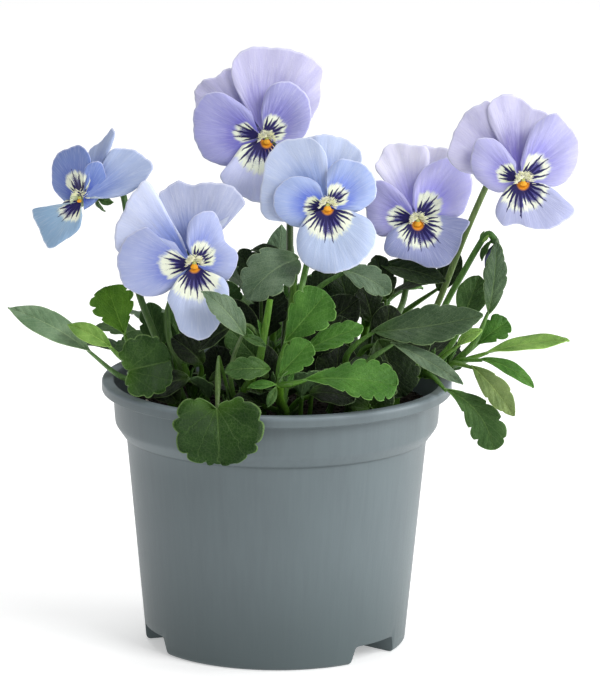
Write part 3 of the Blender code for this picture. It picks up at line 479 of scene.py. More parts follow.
class Paint(Board):
    """A material's node tree about one Principled shader."""

    def __init__(self, name: str, roughness: float = 0.5, **constants: Any) -> None:
        """Make the material.

        Args:
            name: Its name.
            roughness: Its roughness where nothing varies it.
            constants: Other Principled values, with underscores for spaces.
        """
        self.material = bpy.data.materials.new(name)
        self.material.use_nodes = True
        super().__init__(self.material.node_tree)
        self.shader = self.tree.nodes["Principled BSDF"]
        self.shader.inputs["Roughness"].default_value = roughness
        for key, value in constants.items():
            self.shader.inputs[key.replace("_", " ")].default_value = value

    def layer(self, name: str) -> tuple[Wire, Wire, Wire]:
        """Return the three values of a piece's own layer."""
        read = self.node("ShaderNodeAttribute", {"attribute_name": name}, output="Vector")
        return self.split(read)

    def colour_layer(self, name: str) -> Wire:
        """Return the colour of a piece's own layer."""
        return self.node("ShaderNodeAttribute", {"attribute_name": name}, output="Color")

    def split(self, vector: Wire) -> tuple[Wire, Wire, Wire]:
        """Return a vector's three values."""
        parts = self.node("ShaderNodeSeparateXYZ", {}, {0: vector})
        return parts, self.output_of(parts, 1), self.output_of(parts, 2)

    def join(self, x: Any, y: Any, z: Any) -> Wire:
        """Return a vector made of three values."""
        return self.node("ShaderNodeCombineXYZ", {}, {0: x, 1: y, 2: z})

    def place(self) -> Wire:
        """Return object coordinates in millimetres."""
        read = self.node("ShaderNodeTexCoord", output="Object")
        return self.node("ShaderNodeVectorMath", {"operation": "SCALE"}, {0: read, 3: 1 / MM})

    def mix(self, factor: Any, first: Any, second: Any, blend: str = "MIX") -> Wire:
        """Blend two colours.

        Args:
            factor: The share of the second.
            first: A colour.
            second: Another; three values stand for an sRGB colour.
            blend: How they blend.

        Returns:
            The blend.
        """
        settings = {"data_type": "RGBA", "blend_type": blend}
        first, second = (linear(value) if isinstance(value, tuple) and len(value) == 3 else value
                         for value in (first, second))
        return self.node("ShaderNodeMix", settings, {0: factor, 6: first, 7: second}, 2)

    def tint(self, colour: Any, *factors: float) -> Wire:
        """Return a colour with its red, green and blue multiplied by the factors."""
        return self.mix(1, colour, (*factors, 1), "MULTIPLY")

    def noise(self, vector: Wire, scale: float, detail: float = 2.0, rough: float = 0.5) -> Wire:
        """Return smooth noise from 0 to 1."""
        return self.node("ShaderNodeTexNoise", {}, {"Vector": vector, "Scale": scale,
                                                    "Detail": detail, "Roughness": rough})

    def finish(self, colour: Wire, height: Wire | None = None, distance: float = 0.0001,
               rough: Wire | None = None) -> bpy.types.Material:
        """Link the look to the shader.

        Args:
            colour: The base colour.
            height: The relief, from 0 to 1.
            distance: How deep the relief is, in metres.
            rough: The roughness, where it varies.

        Returns:
            The material.
        """
        self.tree.links.new(colour.socket, self.shader.inputs["Base Color"])
        if rough:
            self.tree.links.new(rough.socket, self.shader.inputs["Roughness"])
        if height:
            bump = self.node("ShaderNodeBump", {}, {"Height": height, "Strength": 1.0,
                                                    "Distance": distance})
            self.tree.links.new(bump.socket, self.shader.inputs["Normal"])
        return self.material


class Recipe(Board):
    """A Geometry Nodes tree with named inputs, run on an object and then made plain."""

    def __init__(self, name: str, inputs: dict[str, str]) -> None:
        """Make the tree.

        Args:
            name: Its name.
            inputs: The type of each named input.
        """
        tree = bpy.data.node_groups.new(name, "GeometryNodeTree")
        super().__init__(tree)
        tree.interface.new_socket("Geometry", in_out="INPUT", socket_type="NodeSocketGeometry")
        tree.interface.new_socket("Geometry", in_out="OUTPUT", socket_type="NodeSocketGeometry")
        self.keys = {}
        for title, kind in inputs.items():
            made = tree.interface.new_socket(title, in_out="INPUT", socket_type=kind)
            self.keys[title] = made.identifier
        self.source = tree.nodes.new("NodeGroupInput")

    def given(self, title: str) -> Wire:
        """Return a named input."""
        return Wire(self, self.source.outputs[title])

    def named(self, title: str, kind: str = "FLOAT") -> Wire:
        """Return a named attribute of the geometry."""
        return self.node("GeometryNodeInputNamedAttribute", {"data_type": kind}, {"Name": title})

    def close(self, result: Wire) -> None:
        """End the tree in Realize Instances and Set Material.

        Args:
            result: The tree's last geometry.
        """
        whole = self.node("GeometryNodeRealizeInstances", {}, {0: result})
        dressed = self.node("GeometryNodeSetMaterial", {}, {"Geometry": whole,
                                                            "Material": self.given("Material")})
        sink = self.tree.nodes.new("NodeGroupOutput")
        self.tree.links.new(dressed.socket, sink.inputs[0])

    def run(self, piece: bpy.types.Object, values: dict[str, Any]) -> bpy.types.Object:
        """Run the tree on an object and keep the result as its plain mesh.

        Args:
            piece: The object that carries the input geometry.
            values: A value for each named input.

        Returns:
            The same object with the new mesh, its faces turned outward.
        """
        modifier = piece.modifiers.new("Recipe", "NODES")
        modifier.node_group = self.tree
        for title, value in values.items():
            modifier[self.keys[title]] = value
        bake(piece)
        turn_outward(piece.data)
        return piece


# Sizes shared with the solids
RIM_RADIUS = 52.5
POT_HEIGHT = 80.4
LIP_HEIGHT = 3.4
LIP_INNER = 50.0
COLLAR_RADIUS = 48.6
COLLAR_LOW = 67.75
NECK_HEIGHT = 63.6
NECK_RADIUS = 45.15
FOOT_RADIUS = 39.2
WALL = 1.4
FLOOR = 1.6
CHANNEL_ANGLES = (50.0, 170.0, -70.0)
CHANNEL_WIDTH = 20.5
CHANNEL_TOP_WIDTH = 17.5
CHANNEL_HEIGHT = 5.5
CHANNEL_START = 15.0
DRAIN_RADIUS = 3.0
DRAIN_DISTANCE = 28.0
SOIL_TOP = 72.0
SOIL_CROWN = 1.2
STEM_DEPTH = 60.0
STALK_RADIUS = 1.0
VIEW_ELEVATION = 12.5
CORE_RADIUS = 2.0
SEPAL_LENGTH = 7.5
BUD_NECK = (64.8, -1.5, 123.5)
BUD_TIP = (62.5, -2.0, 113.0)
BUD_ALONG = unit(np.subtract(BUD_TIP, BUD_NECK))
BUD_RADIUS = 1.9

# The plane of the picture: up and toward the viewer, square to the line of sight
TILT = math.radians(VIEW_ELEVATION)
ACROSS = np.array([1, 0, 0])
UP = np.array([0, math.sin(TILT), math.cos(TILT)])
TOWARD = np.array([0, -math.cos(TILT), math.sin(TILT)])

# Fineness of the dressed pieces
LEAF_ROWS = 76
LEAF_COLUMNS = 15
PETAL_RINGS = 26
PETAL_COLUMNS = 76
POT_SEGMENTS = 144
STRAND_STEPS = 6


@dataclass(frozen=True)
class Leaf:
    """One blade: a midrib from base to tip, a width and the way its face looks."""

    tone: Tone
    kind: Kind
    base: Sequence[float]
    tip: Sequence[float]
    width: float
    face: tuple
    bow: float = 1.5
    sway: float = 0.0
    teeth: int = 0
    petiole: tuple = ()
    thick: float = 0.45

    def margin(self, t: Array, v: Array) -> Array:
        """Cut the teeth of a leaf.

        Args:
            t: Shares of the length.
            v: Places across, -1 to 1.

        Returns:
            The share of the width that the cut edge leaves there.
        """
        if self.kind is Kind.ROUND:
            return np.ones_like(t * v)
        depth = (0.16 if self.kind is Kind.LANCE else 0.26) if self.teeth else 0.04
        place = (t + 0.12 * t ** 5) * (self.teeth + 1) + 0.23 * np.sign(v) + 0.5 * whim(*self.base)
        part = place - np.floor(place)
        notch = np.exp(-(part / 0.22) ** 1.2) * (1 - 0.35 * part)
        lobe = 1 - notch + 0.22 * np.sin(math.pi * part)
        fade = np.clip((1 - t) * 9, 0, 1) * np.clip(t * 3.2 - 0.5, 0, 1)
        return 1 + depth * fade * (lobe - 1) * np.abs(v) ** 3

    def scallops(self, x: Array, y: Array, v: Array) -> Array:
        """Scallop the rim of a round leaf.

        Args:
            x: Places across.
            y: Places along.
            v: Places across as a share, -1 to 1.

        Returns:
            How far the rim moves in there, as a share.
        """
        if self.kind is not Kind.ROUND:
            return np.zeros_like(x)
        turn = np.arctan2(y, x) * 6.5 + 3 * whim(*self.tip)
        lobe = np.abs(np.sin(turn + 0.5 * np.sin(1.3 * turn))) ** 0.45
        return 0.19 * (lobe - 0.7) * np.abs(v) ** 3

    def shell(self) -> Shell:
        """Return the blade as a thin closed surface with its leaf values."""
        base, tip = np.array(self.base, float), np.array(self.tip, float)
        azimuth, elevation = np.radians(self.face)
        face = np.array([math.sin(azimuth) * math.cos(elevation),
                         -math.cos(azimuth) * math.cos(elevation), math.sin(elevation)])
        length, run = float(np.linalg.norm(tip - base)), unit(tip - base)
        up = unit(face - face @ run * run)
        bend = (base + tip) / 2 + up * self.bow * 2 + np.cross(run, up) * self.sway * 2
        rise, fall = self.kind.value
        peak = rise / (rise + fall)
        top = peak ** rise * (1 - peak) ** fall
        count = int(np.clip(length * 3.2, 14, LEAF_ROWS))
        t = ((1 - np.cos(np.linspace(0, math.pi, count + 1))) / 2)[1:-1, None]
        v = np.linspace(-1, 1, LEAF_COLUMNS)[None, :]
        centre = (1 - t) ** 2 * base + 2 * t * (1 - t) * bend + t * t * tip
        along = unit((1 - t) * (bend - base) + t * (tip - bend))
        side = unit(np.cross(along, up))
        normal = np.cross(side, along)
        half = self.width / 2 * t ** rise * (1 - t) ** fall / top
        phase = 6.28 * whim(*self.tip)
        fold = 0.22 * half * np.sqrt(v * v + 0.01) + 0.06 * self.width * v * np.sin(5 * t + v)
        fold = fold + 0.026 * self.width * v * v * np.sin(15 * t + phase + 2 * v)
        fold = fold - 0.20 * np.exp(-(v * half / 0.45) ** 2)
        rib = (t * length - np.abs(v * half) * 1.7) / 3.4
        fold = fold + 0.16 * np.cos(2 * math.pi * rib) * np.sin(math.pi * np.abs(v)) * (
            self.kind is not Kind.ROUND) * min(1.0, self.width / 8)
        lobe = self.width * 0.3 * (1 - t) ** 2 * (self.kind is Kind.ROUND)
        shift = lobe * np.abs(v) * np.minimum(1.0, 2 * half / self.width)
        across = half * self.margin(t, v) * v
        onward = (t - min(peak * 0.93, 0.62)) * length - shift
        scallop = self.scallops(onward, across, v)
        across, shift = across * (1 + scallop), shift - onward * scallop
        points = centre[:, None] + sum(axis[:, None] * reach[..., None] for axis, reach in (
            (side, across), (normal, fold), (along, -shift)))
        rows = points.shape[0]
        flat = np.vstack([points.reshape(-1, 3), base, tip])
        triangles = grid_sheet(rows, LEAF_COLUMNS)
        first, last = len(flat) - 2, len(flat) - 1
        low = np.arange(LEAF_COLUMNS - 1)
        high = low + (rows - 1) * LEAF_COLUMNS
        triangles = np.vstack([triangles, np.stack([low + 1, low, low * 0 + first], 1),
                               np.stack([high, high + 1, high * 0 + last], 1)])
        left = np.arange(rows) * LEAF_COLUMNS
        right = left + LEAF_COLUMNS - 1
        rim = np.concatenate([[first], right, [last], left[::-1]])
        x = np.append(t * length - shift, [0, length])
        y = np.append(across, [0, 0])
        edge = np.append(np.abs(v) + 0 * t, [1, 1])
        reach = np.append(t + 0 * v, [0, 1])
        fan = np.full_like(x, float(self.kind is Kind.ROUND))
        thick = self.thick * (1 - 0.6 * edge ** 6)
        layers = {
            "blade": np.stack([x, y, fan], 1),
            "margin": np.stack([edge, reach, np.full_like(x, whim(*self.base))], 1),
            "tone": np.tile(np.array(linear(self.tone.value)), (len(x), 1)),
        }
        return close_sheet(flat, triangles, rim, thick, layers)


@dataclass(frozen=True)
class LeafyStem:
    """A stem in its hole in the soil, its leaves and its flower stalks.

    Attributes:
        name: Which stem it is.
        axis: Points along its middle, from below the soil up.
        radius: Its radius.
        leaves: Its leaves.
        stalks: Points along each flower stalk.
        tones: Each stalk's colour.
        bloom: The bloom that the first stalk carries.
        bud: Whether the last stalk carries the bud.
        foot: The colour of its petioles at the stem.
        petiole: Their radius.
    """

    name: str
    axis: tuple
    radius: float
    leaves: tuple
    stalks: tuple = ()
    tones: tuple = ()
    bloom: str = ""
    bud: bool = False
    foot: Tone = Tone.LIME
    petiole: float = 0.95


@dataclass(frozen=True)
class Petal:
    """A petal's rim in the plane of the picture, and how it lies in depth."""

    rim: tuple
    layer: float = 0.0
    slope: tuple = (0.0, 0.0)
    lift: float = 0.0


@dataclass(frozen=True)
class Bloom:
    """Five petals about a throat.

    Attributes:
        name: Which bloom it is.
        throat: The middle of its throat.
        slot: The material slot of its petals; not used.
        petals: Two upper petals, two side petals and the lower one.
        facing: The way it looks.
        sideways: Whether it is seen from its side, with little of its throat.
    """

    name: str
    throat: tuple
    slot: str
    petals: tuple = ()
    facing: tuple = (0, -0.976, 0.217)
    sideways: bool = False

    @property
    def heart(self) -> Array:
        """Return the place behind the petals where the stalk ends."""
        return np.array(self.throat) - unit(self.facing) * (CORE_RADIUS + 2.9)

    def at(self, x: Any, y: Any, depth: Any) -> Array:
        """Return the places of points given in the plane of the picture, from the throat."""
        outer = np.multiply.outer
        return self.throat + outer(x, ACROSS) + outer(y, UP) + outer(depth, TOWARD)


LEFT_STEM = LeafyStem(
    "left",
    axis=((-31, -12, STEM_DEPTH), (-31, -12, 74), (-32, -13, 86)),
    radius=1.6, tones=(Tone.MID,), bloom="far_left",
    leaves=(
        Leaf(Tone.SILVER, Kind.LANCE, (-55.2, -16, 91.5), (-80, -10, 103.5), 9, (-15, 45), 3,
             petiole=((-31.5, -12.5, 79), (-40, -13, 81.5), (-47, -14, 84))),
        Leaf(Tone.FRESH, Kind.LANCE, (-48.8, -21, 94), (-62, -19, 100.5), 6, (-10, 40), 1.5,
             petiole=((-32, -13, 84), (-39, -17, 88), (-45.3, -19, 90))),
        Leaf(Tone.LIME, Kind.SPOON, (-45.2, -14, 96.5), (-50.5, -12, 110.5), 13, (-5, 15), 1,
             teeth=3, petiole=((-32, -13, 85), (-38, -12, 86.5), (-43, -13, 90))),
        Leaf(Tone.LUSH, Kind.ROUND, (-43.4, -34, 90), (-31.5, -31, 92.5), 18, (5, 15), 1, teeth=4,
             petiole=((-31.5, -12.5, 81), (-38, -20, 83.5), (-43, -29, 87.5))),
        Leaf(Tone.MID, Kind.OVAL, (-38, -4, 87), (-47, 3, 91), 11, (-60, 45), 1.5,
             petiole=((-31.6, -12.6, 82), (-35, -8, 85))),
    ),
    stalks=(((-32, -13, 85), (-36, -12, 95), (-41, -11, 108), (-44, -8, 120),
             (-45, -3.5, 131), (-47, 0.5, 138), (-51, 0.5, 139.5), (-54.5, -4.5, 137.2)),),
)

INNER_LEFT_STEM = LeafyStem(
    "inner_left",
    axis=((-24, -15, STEM_DEPTH), (-24.5, -15, 76), (-28, -14.5, 88)),
    radius=1.5, tones=(Tone.MID,), bloom="front_left",
    leaves=(
        Leaf(Tone.SHADE, Kind.OVAL, (-26, -22, 85), (-39, -24, 80.5), 9, (-10, 45), 1.5,
             petiole=((-24.3, -15, 77), (-24.5, -19, 83))),
        Leaf(Tone.SHADE, Kind.OVAL, (-22, -19, 89), (-31, -20, 97), 8, (-5, 35), 1.5,
             petiole=((-25.5, -15, 80), (-22.5, -16, 85))),
        Leaf(Tone.MID, Kind.LANCE, (-29.5, -11, 96), (-31, -8, 109), 5, (10, 10), 0.5, 0,
             petiole=((-27.5, -14.5, 86), (-28.5, -12.5, 91))),
        Leaf(Tone.SHADE, Kind.OVAL, (-20, -14, 82), (-8, -19, 83.5), 11, (0, 50), 1.5,
             petiole=((-24.4, -15, 75), (-22.5, -14.5, 79.5))),
    ),
    stalks=(((-28, -14.5, 86), (-32, -13.5, 95), (-32.3, -13, 104), (-28, -13.5, 114),
             (-25, -14.5, 120), (-24.7, -17.5, 122.5), (-24.7, -21.2, 121.3)),),
)

FRONT_STEM = LeafyStem(
    "front_left",
    axis=((-14, -26, STEM_DEPTH), (-13, -27, 76), (-6, -32, 90), (-3.5, -32, 102),
          (-2, -30.5, 111)),
    radius=1.4, foot=Tone.OLIVE, petiole=0.75,
    leaves=(
        Leaf(Tone.GREY, Kind.LANCE, (-9.3, -37, 101), (-22, -37, 114.7), 8.5, (20, 40), 2, teeth=2,
             petiole=((-12, -27.7, 78), (-13.5, -33, 88), (-12.5, -34.5, 95))),
        Leaf(Tone.MID, Kind.LANCE, (-10.2, -37.5, 101.5), (-3.1, -40.5, 99), 3.2, (0, 50), 0.5),
        Leaf(Tone.MID, Kind.OVAL, (-1.9, -42, 92.5), (-15, -44, 92.3), 7, (0, 30), 1.5, teeth=2,
             petiole=((-6, -32, 90), (-3, -37, 89))),
        Leaf(Tone.SHADE, Kind.LANCE, (-12.6, -30, 103), (-23, -30, 95), 6, (0, 60), 1,
             petiole=((-4, -32, 98), (-8, -31, 103))),
        Leaf(Tone.LUSH, Kind.ROUND, (-17.2, -51.5, 82.6), (-16, -57, 67.5), 25.5, (0, 22), 1.5,
             teeth=5, petiole=((-13, -27, 77), (-16, -31, 90), (-17, -37, 95), (-17.1, -45, 89.5))),
    ),
)

CENTRE_STEM = LeafyStem(
    "centre",
    axis=((3, -27, STEM_DEPTH), (3, -27, 74), (1, -36, 82), (1, -44, 88.5)),
    radius=1.6, tones=(Tone.BRIGHT,), bloom="middle",
    leaves=(
        Leaf(Tone.BRIGHT, Kind.SPOON, (2.2, -40, 100), (14.5, -38, 114.5), 13.5, (0, 15), 1,
             teeth=3, petiole=((1, -42, 87), (0.8, -40.5, 93))),
        Leaf(Tone.BRIGHT, Kind.SPOON, (0.5, -44, 90.5), (9.8, -46, 101.5), 9, (5, 25), 1, teeth=2,
             petiole=((1, -43, 87.5),)),
        Leaf(Tone.BRIGHT, Kind.SPOON, (7.8, -47, 90.5), (35.2, -45, 88.4), 13, (0, 40), 2.5,
             teeth=5, petiole=((1, -43.5, 88.2), (4, -46, 89))),
        Leaf(Tone.BRIGHT, Kind.OVAL, (8.6, -38, 97), (25.3, -36, 104), 7.5, (0, 40), 1.5, teeth=3,
             petiole=((1, -41, 86.2), (4, -39.5, 92))),
        Leaf(Tone.MID, Kind.LANCE, (0, -45, 88), (-2.5, -48, 82.5), 2.8, (0, 20), 0.3),
        Leaf(Tone.BRIGHT, Kind.LANCE, (0, -44.5, 88.5), (-8.5, -46, 88), 3.2, (0, 50), 0.5),
        Leaf(Tone.SHADE, Kind.OVAL, (10, -33, 83), (23, -39, 82.5), 11, (10, 60), 1.5,
             petiole=((3, -27.5, 75), (6, -30.5, 80))),
        Leaf(Tone.SHADE, Kind.OVAL, (-5, -33.5, 80), (-12, -41, 81.5), 8, (-10, 55), 1,
             petiole=((2.8, -28, 75), (-1, -31, 78))),
    ),
    stalks=(((1.8, -33, 80), (4, -31, 92), (5.3, -28, 104), (8.3, -22, 118), (11.5, -15, 130),
             (13.5, -9.5, 137.5), (14.2, -9.5, 139.5), (14.2, -15.2, 137.5)),),
)

MIDDLE_STEM = LeafyStem(
    "middle",
    axis=((1, -3, STEM_DEPTH), (2, -4, 80), (4, -7, 100), (5, -9, 113)),
    radius=1.5, tones=(Tone.DEEP,), bloom="top",
    leaves=(
        Leaf(Tone.GREY, Kind.OVAL, (6, -11.5, 118.8), (-9, -22, 109.2), 15.5, (-10, 40), 4, teeth=3,
             petiole=((5, -9, 112),)),
        Leaf(Tone.DEEP, Kind.LANCE, (2, -3, 117.5), (-8, -5, 120.5), 6, (0, 60), 1,
             petiole=((4, -7, 106), (4.5, -4.5, 112))),
        Leaf(Tone.GREY, Kind.OVAL, (19.5, -8, 115.2), (33.5, -12, 109.2), 9.5, (20, 40), 1.5,
             teeth=2, petiole=((3.5, -6.5, 98), (12, -6, 109))),
        Leaf(Tone.SHADE, Kind.OVAL, (8, -13, 91), (21, -17, 102), 10, (10, 30), 1.5, teeth=3,
             petiole=((2.5, -5, 84), (5, -9, 88))),
        Leaf(Tone.MID, Kind.OVAL, (-5, -13, 88), (-15, -18, 100), 10, (-10, 30), 1.5, teeth=3,
             petiole=((2.3, -4.7, 83), (-1, -9, 86))),
        Leaf(Tone.SHADE, Kind.OVAL, (10, -6, 94), (24, -6, 106), 12, (15, 25), 1.5,
             petiole=((2.7, -5, 87), (6, -5.5, 91))),
        Leaf(Tone.SHADE, Kind.OVAL, (-6, -4, 92), (-18, -4, 104), 12, (-15, 30), 1.5,
             petiole=((2.4, -4.6, 84), (-2, -4, 88))),
    ),
    stalks=(((2, -4, 84), (2.6, 1, 96), (3.4, 7, 112), (3.6, 9, 123), (3, 13, 138),
             (-1.5, 17, 149), (-4.8, 17.5, 154.5), (-4.8, 11.8, 153.1)),),
)

RIGHT_STEM = LeafyStem(
    "right",
    axis=((22, -15, STEM_DEPTH), (22, -16, 76), (21, -20, 87)),
    radius=1.6, tones=(Tone.MID,), bloom="right",
    leaves=(
        Leaf(Tone.SLATE, Kind.LANCE, (28.1, -26, 100.4), (60.6, -30, 106.6), 13, (5, 40), 2, 2, 4,
             petiole=((21, -19, 85), (20.5, -23.5, 92), (24, -25.5, 97))),
        Leaf(Tone.DEEP, Kind.OVAL, (30, -20, 96.6), (37.5, -22, 80), 16, (10, 10), 1, teeth=4,
             petiole=((22, -16.5, 79), (25, -17, 92))),
        Leaf(Tone.GREY, Kind.LANCE, (33.6, -31, 98.5), (54.8, -38, 87.6), 6, (10, 45), 1,
             petiole=((21.5, -18.5, 83), (27, -28, 92))),
        Leaf(Tone.SHADE, Kind.OVAL, (36, -11, 92.5), (45.5, -13.5, 93), 11, (15, 40), 1.5,
             petiole=((22, -16.2, 79), (30, -12.5, 90))),
    ),
    stalks=(((22, -16, 78), (29, -6, 90), (36, 4, 99), (38.5, 8.5, 106), (39, 9.5, 118),
             (40.5, 12, 127), (41.2, 11.5, 131), (41.2, 5.8, 129.8)),),
)

OUTER_RIGHT_STEM = LeafyStem(
    "outer_right",
    axis=((35, -7, STEM_DEPTH), (36, -8, 78), (44, -11, 85), (52, -14, 87.5)),
    radius=1.5, tones=(Tone.OLIVE, Tone.BRIGHT), bloom="far_right", bud=True,
    leaves=(
        Leaf(Tone.FRESH, Kind.LANCE, (61.8, -16, 92), (87, -12, 95.3), 7, (0, 62), 1,
             petiole=((51, -13.8, 87), (56, -15, 89.5))),
        Leaf(Tone.BRIGHT, Kind.LANCE, (60, -19.5, 91), (76.3, -22, 83), 5.5, (0, 55), 2.5,
             petiole=((51, -13.8, 87), (55, -17, 90))),
        Leaf(Tone.OLIVE, Kind.LANCE, (57.5, -24, 90), (70.3, -27, 75.4), 8, (15, 25), 2, teeth=2,
             petiole=((50, -13.6, 87), (53, -19, 89.5))),
        Leaf(Tone.MID, Kind.SPOON, (49.5, -24, 83), (64.5, -27, 65.2), 10.5, (5, 20), 1, -3, 3,
             petiole=((43, -10.8, 84.5), (46.5, -18, 85))),
        Leaf(Tone.BRIGHT, Kind.SPOON, (59.3, -10, 93), (68.8, -8, 100), 8, (0, 30), 1, teeth=2,
             petiole=((51, -13.8, 87), (55, -12, 90))),
        Leaf(Tone.FRESH, Kind.LANCE, (53.3, -23, 95.6), (60.6, -24, 100.8), 4.5, (0, 50), 1,
             petiole=((47, -12.4, 86.3), (49.5, -18.5, 91.5))),
        Leaf(Tone.MID, Kind.OVAL, (55.5, -8, 101), (60, -7, 113.5), 9.5, (10, 20), 0.5,
             petiole=((45, -11.5, 85.5), (52.5, -9.5, 94))),
        Leaf(Tone.SLATE, Kind.LANCE, (62.6, -14, 103), (65, -10, 124.8), 8, (30, 10), 1, teeth=4,
             petiole=((51, -13.8, 87), (58.5, -15.5, 95))),
        Leaf(Tone.SHADE, Kind.OVAL, (43, 2, 86), (55, 8, 88), 12, (80, 50), 1.5,
             petiole=((36.3, -8, 78.5), (39.5, -3, 84))),
        Leaf(Tone.SHADE, Kind.OVAL, (31, 2, 84.5), (38, 13, 91), 12, (90, 50), 1.5,
             petiole=((35.9, -7.8, 77), (33, -3, 81.5))),
    ),
    stalks=(
        ((36, -8, 78), (42, -2, 90), (48.8, 2, 105), (56, 3, 124), (62.9, 1, 141),
         (66.5, -0.5, 147), (70.5, -2, 149), (71.3, -8.2, 144.6)),
        ((37, -8, 79), (44.5, -5, 91), (50.5, -3.5, 104.6), (55.5, -3, 113.8), (59.5, -2.5, 121),
         (62.5, -2, 125.3), (64.8, -1.5, 123.5)),
    ),
)

BACK_RIGHT_STEM = LeafyStem(
    "back_right",
    axis=((24, 18, STEM_DEPTH), (24.5, 17, 78), (27.5, 13, 98)),
    radius=1.5,
    leaves=(
        Leaf(Tone.DEEP, Kind.LANCE, (30.3, 3.5, 114.5), (50.3, -1, 110.5), 8, (0, 40), 1.5,
             petiole=((27.5, 13, 96), (29, 8, 107))),
        Leaf(Tone.DEEP, Kind.LANCE, (34, 5, 105), (46.8, 4, 109.5), 6, (0, 75), 1,
             petiole=((27.2, 13.4, 94), (29.5, 9, 101))),
        Leaf(Tone.DEEP, Kind.OVAL, (48.3, 12, 105), (54.4, 10, 116.8), 7, (0, 20), 0.5,
             petiole=((25.5, 15.5, 86), (38, 17, 97))),
        Leaf(Tone.MID, Kind.SPOON, (36, 26, 90), (53, 32, 91), 13, (130, 50), 2, teeth=4,
             petiole=((24.8, 16.8, 80), (29, 21, 86))),
        Leaf(Tone.MID, Kind.SPOON, (28, 33, 91), (38, 49, 90), 13, (150, 50), 2, teeth=4,
             petiole=((24.6, 17, 79), (25.5, 25, 86))),
        Leaf(Tone.BRIGHT, Kind.OVAL, (33, 20, 99), (44, 25, 103), 9, (120, 45), 1.5,
             petiole=((26.5, 14.5, 91), (29, 17, 96))),
        Leaf(Tone.SHADE, Kind.OVAL, (18, 9, 93), (11, 3, 107), 12, (-5, 35), 1.5,
             petiole=((25, 16.3, 82), (21, 12, 89))),
    ),
)

BACK_STEM = LeafyStem(
    "back",
    axis=((-2, 26, STEM_DEPTH), (-2, 26, 78), (-1, 26, 96)),
    radius=1.5,
    leaves=(
        Leaf(Tone.MID, Kind.SPOON, (-8, 36, 91), (-14, 53, 94), 13, (190, 50), 2, teeth=4,
             petiole=((-2, 26, 79), (-5, 31, 87))),
        Leaf(Tone.BRIGHT, Kind.SPOON, (6, 33, 96), (15, 45, 104), 12, (160, 45), 2, teeth=3,
             petiole=((-1.5, 26, 86), (1.5, 29, 92))),
        Leaf(Tone.GREY, Kind.OVAL, (-9, 29, 99), (-20, 36, 107), 11, (200, 45), 2, teeth=3,
             petiole=((-1.3, 26, 90), (-4.5, 27, 95.5))),
        Leaf(Tone.MID, Kind.ROUND, (5, 52.5, 82.8), (5.5, 58, 69), 22, (180, 20), 1.5, teeth=5,
             petiole=((-1.7, 26, 82), (2, 35, 91), (4.5, 45, 90))),
        Leaf(Tone.GREY, Kind.LANCE, (0, 28, 103), (1, 36, 120), 9, (180, 25), 1.5,
             petiole=((-1, 26, 94), (-0.5, 26.5, 98.5))),
        Leaf(Tone.SHADE, Kind.OVAL, (6, 24, 88), (17, 21, 97), 13, (60, 50), 1.5,
             petiole=((-1.8, 26, 81), (2, 25, 85.5))),
        Leaf(Tone.SHADE, Kind.OVAL, (-9, 20, 88), (-16, 11, 96), 13, (-60, 45), 1.5,
             petiole=((-1.7, 26, 82), (-5, 23, 85.5))),
    ),
)

BACK_LEFT_STEM = LeafyStem(
    "back_left",
    axis=((-26, 16, STEM_DEPTH), (-26, 16, 78), (-26, 17, 90)),
    radius=1.5,
    leaves=(
        Leaf(Tone.MID, Kind.SPOON, (-40, 20, 87), (-57, 24, 89), 12, (-100, 50), 2, teeth=4,
             petiole=((-26, 16, 79), (-33, 18, 85))),
        Leaf(Tone.GREY, Kind.OVAL, (-34, 30, 88), (-45, 42, 91), 13, (-140, 50), 2, teeth=3,
             petiole=((-26, 16.3, 80), (-30, 23, 86))),
        Leaf(Tone.SLATE, Kind.LANCE, (-44, 6, 86), (-64, 4, 90), 8, (-75, 50), 1.5,
             petiole=((-26, 16, 78), (-34, 11, 83))),
        Leaf(Tone.BRIGHT, Kind.SPOON, (-26, 26, 97), (-29, 38, 104), 11, (190, 45), 1.5, teeth=3,
             petiole=((-26, 17, 88), (-26, 21, 93))),
        Leaf(Tone.MID, Kind.SPOON, (-18, 10, 96), (-14, 8, 108), 10, (0, 25), 1, teeth=3,
             petiole=((-26, 16.8, 87), (-22, 13, 92))),
        Leaf(Tone.MID, Kind.OVAL, (-20, 34, 88), (-27, 48, 90), 12, (200, 50), 2, teeth=3,
             petiole=((-26, 16.1, 79.5), (-22, 26, 86))),
    ),
)

STEMS = (
    LEFT_STEM, INNER_LEFT_STEM, FRONT_STEM, CENTRE_STEM, MIDDLE_STEM, RIGHT_STEM,
    OUTER_RIGHT_STEM, BACK_RIGHT_STEM, BACK_STEM, BACK_LEFT_STEM,
)

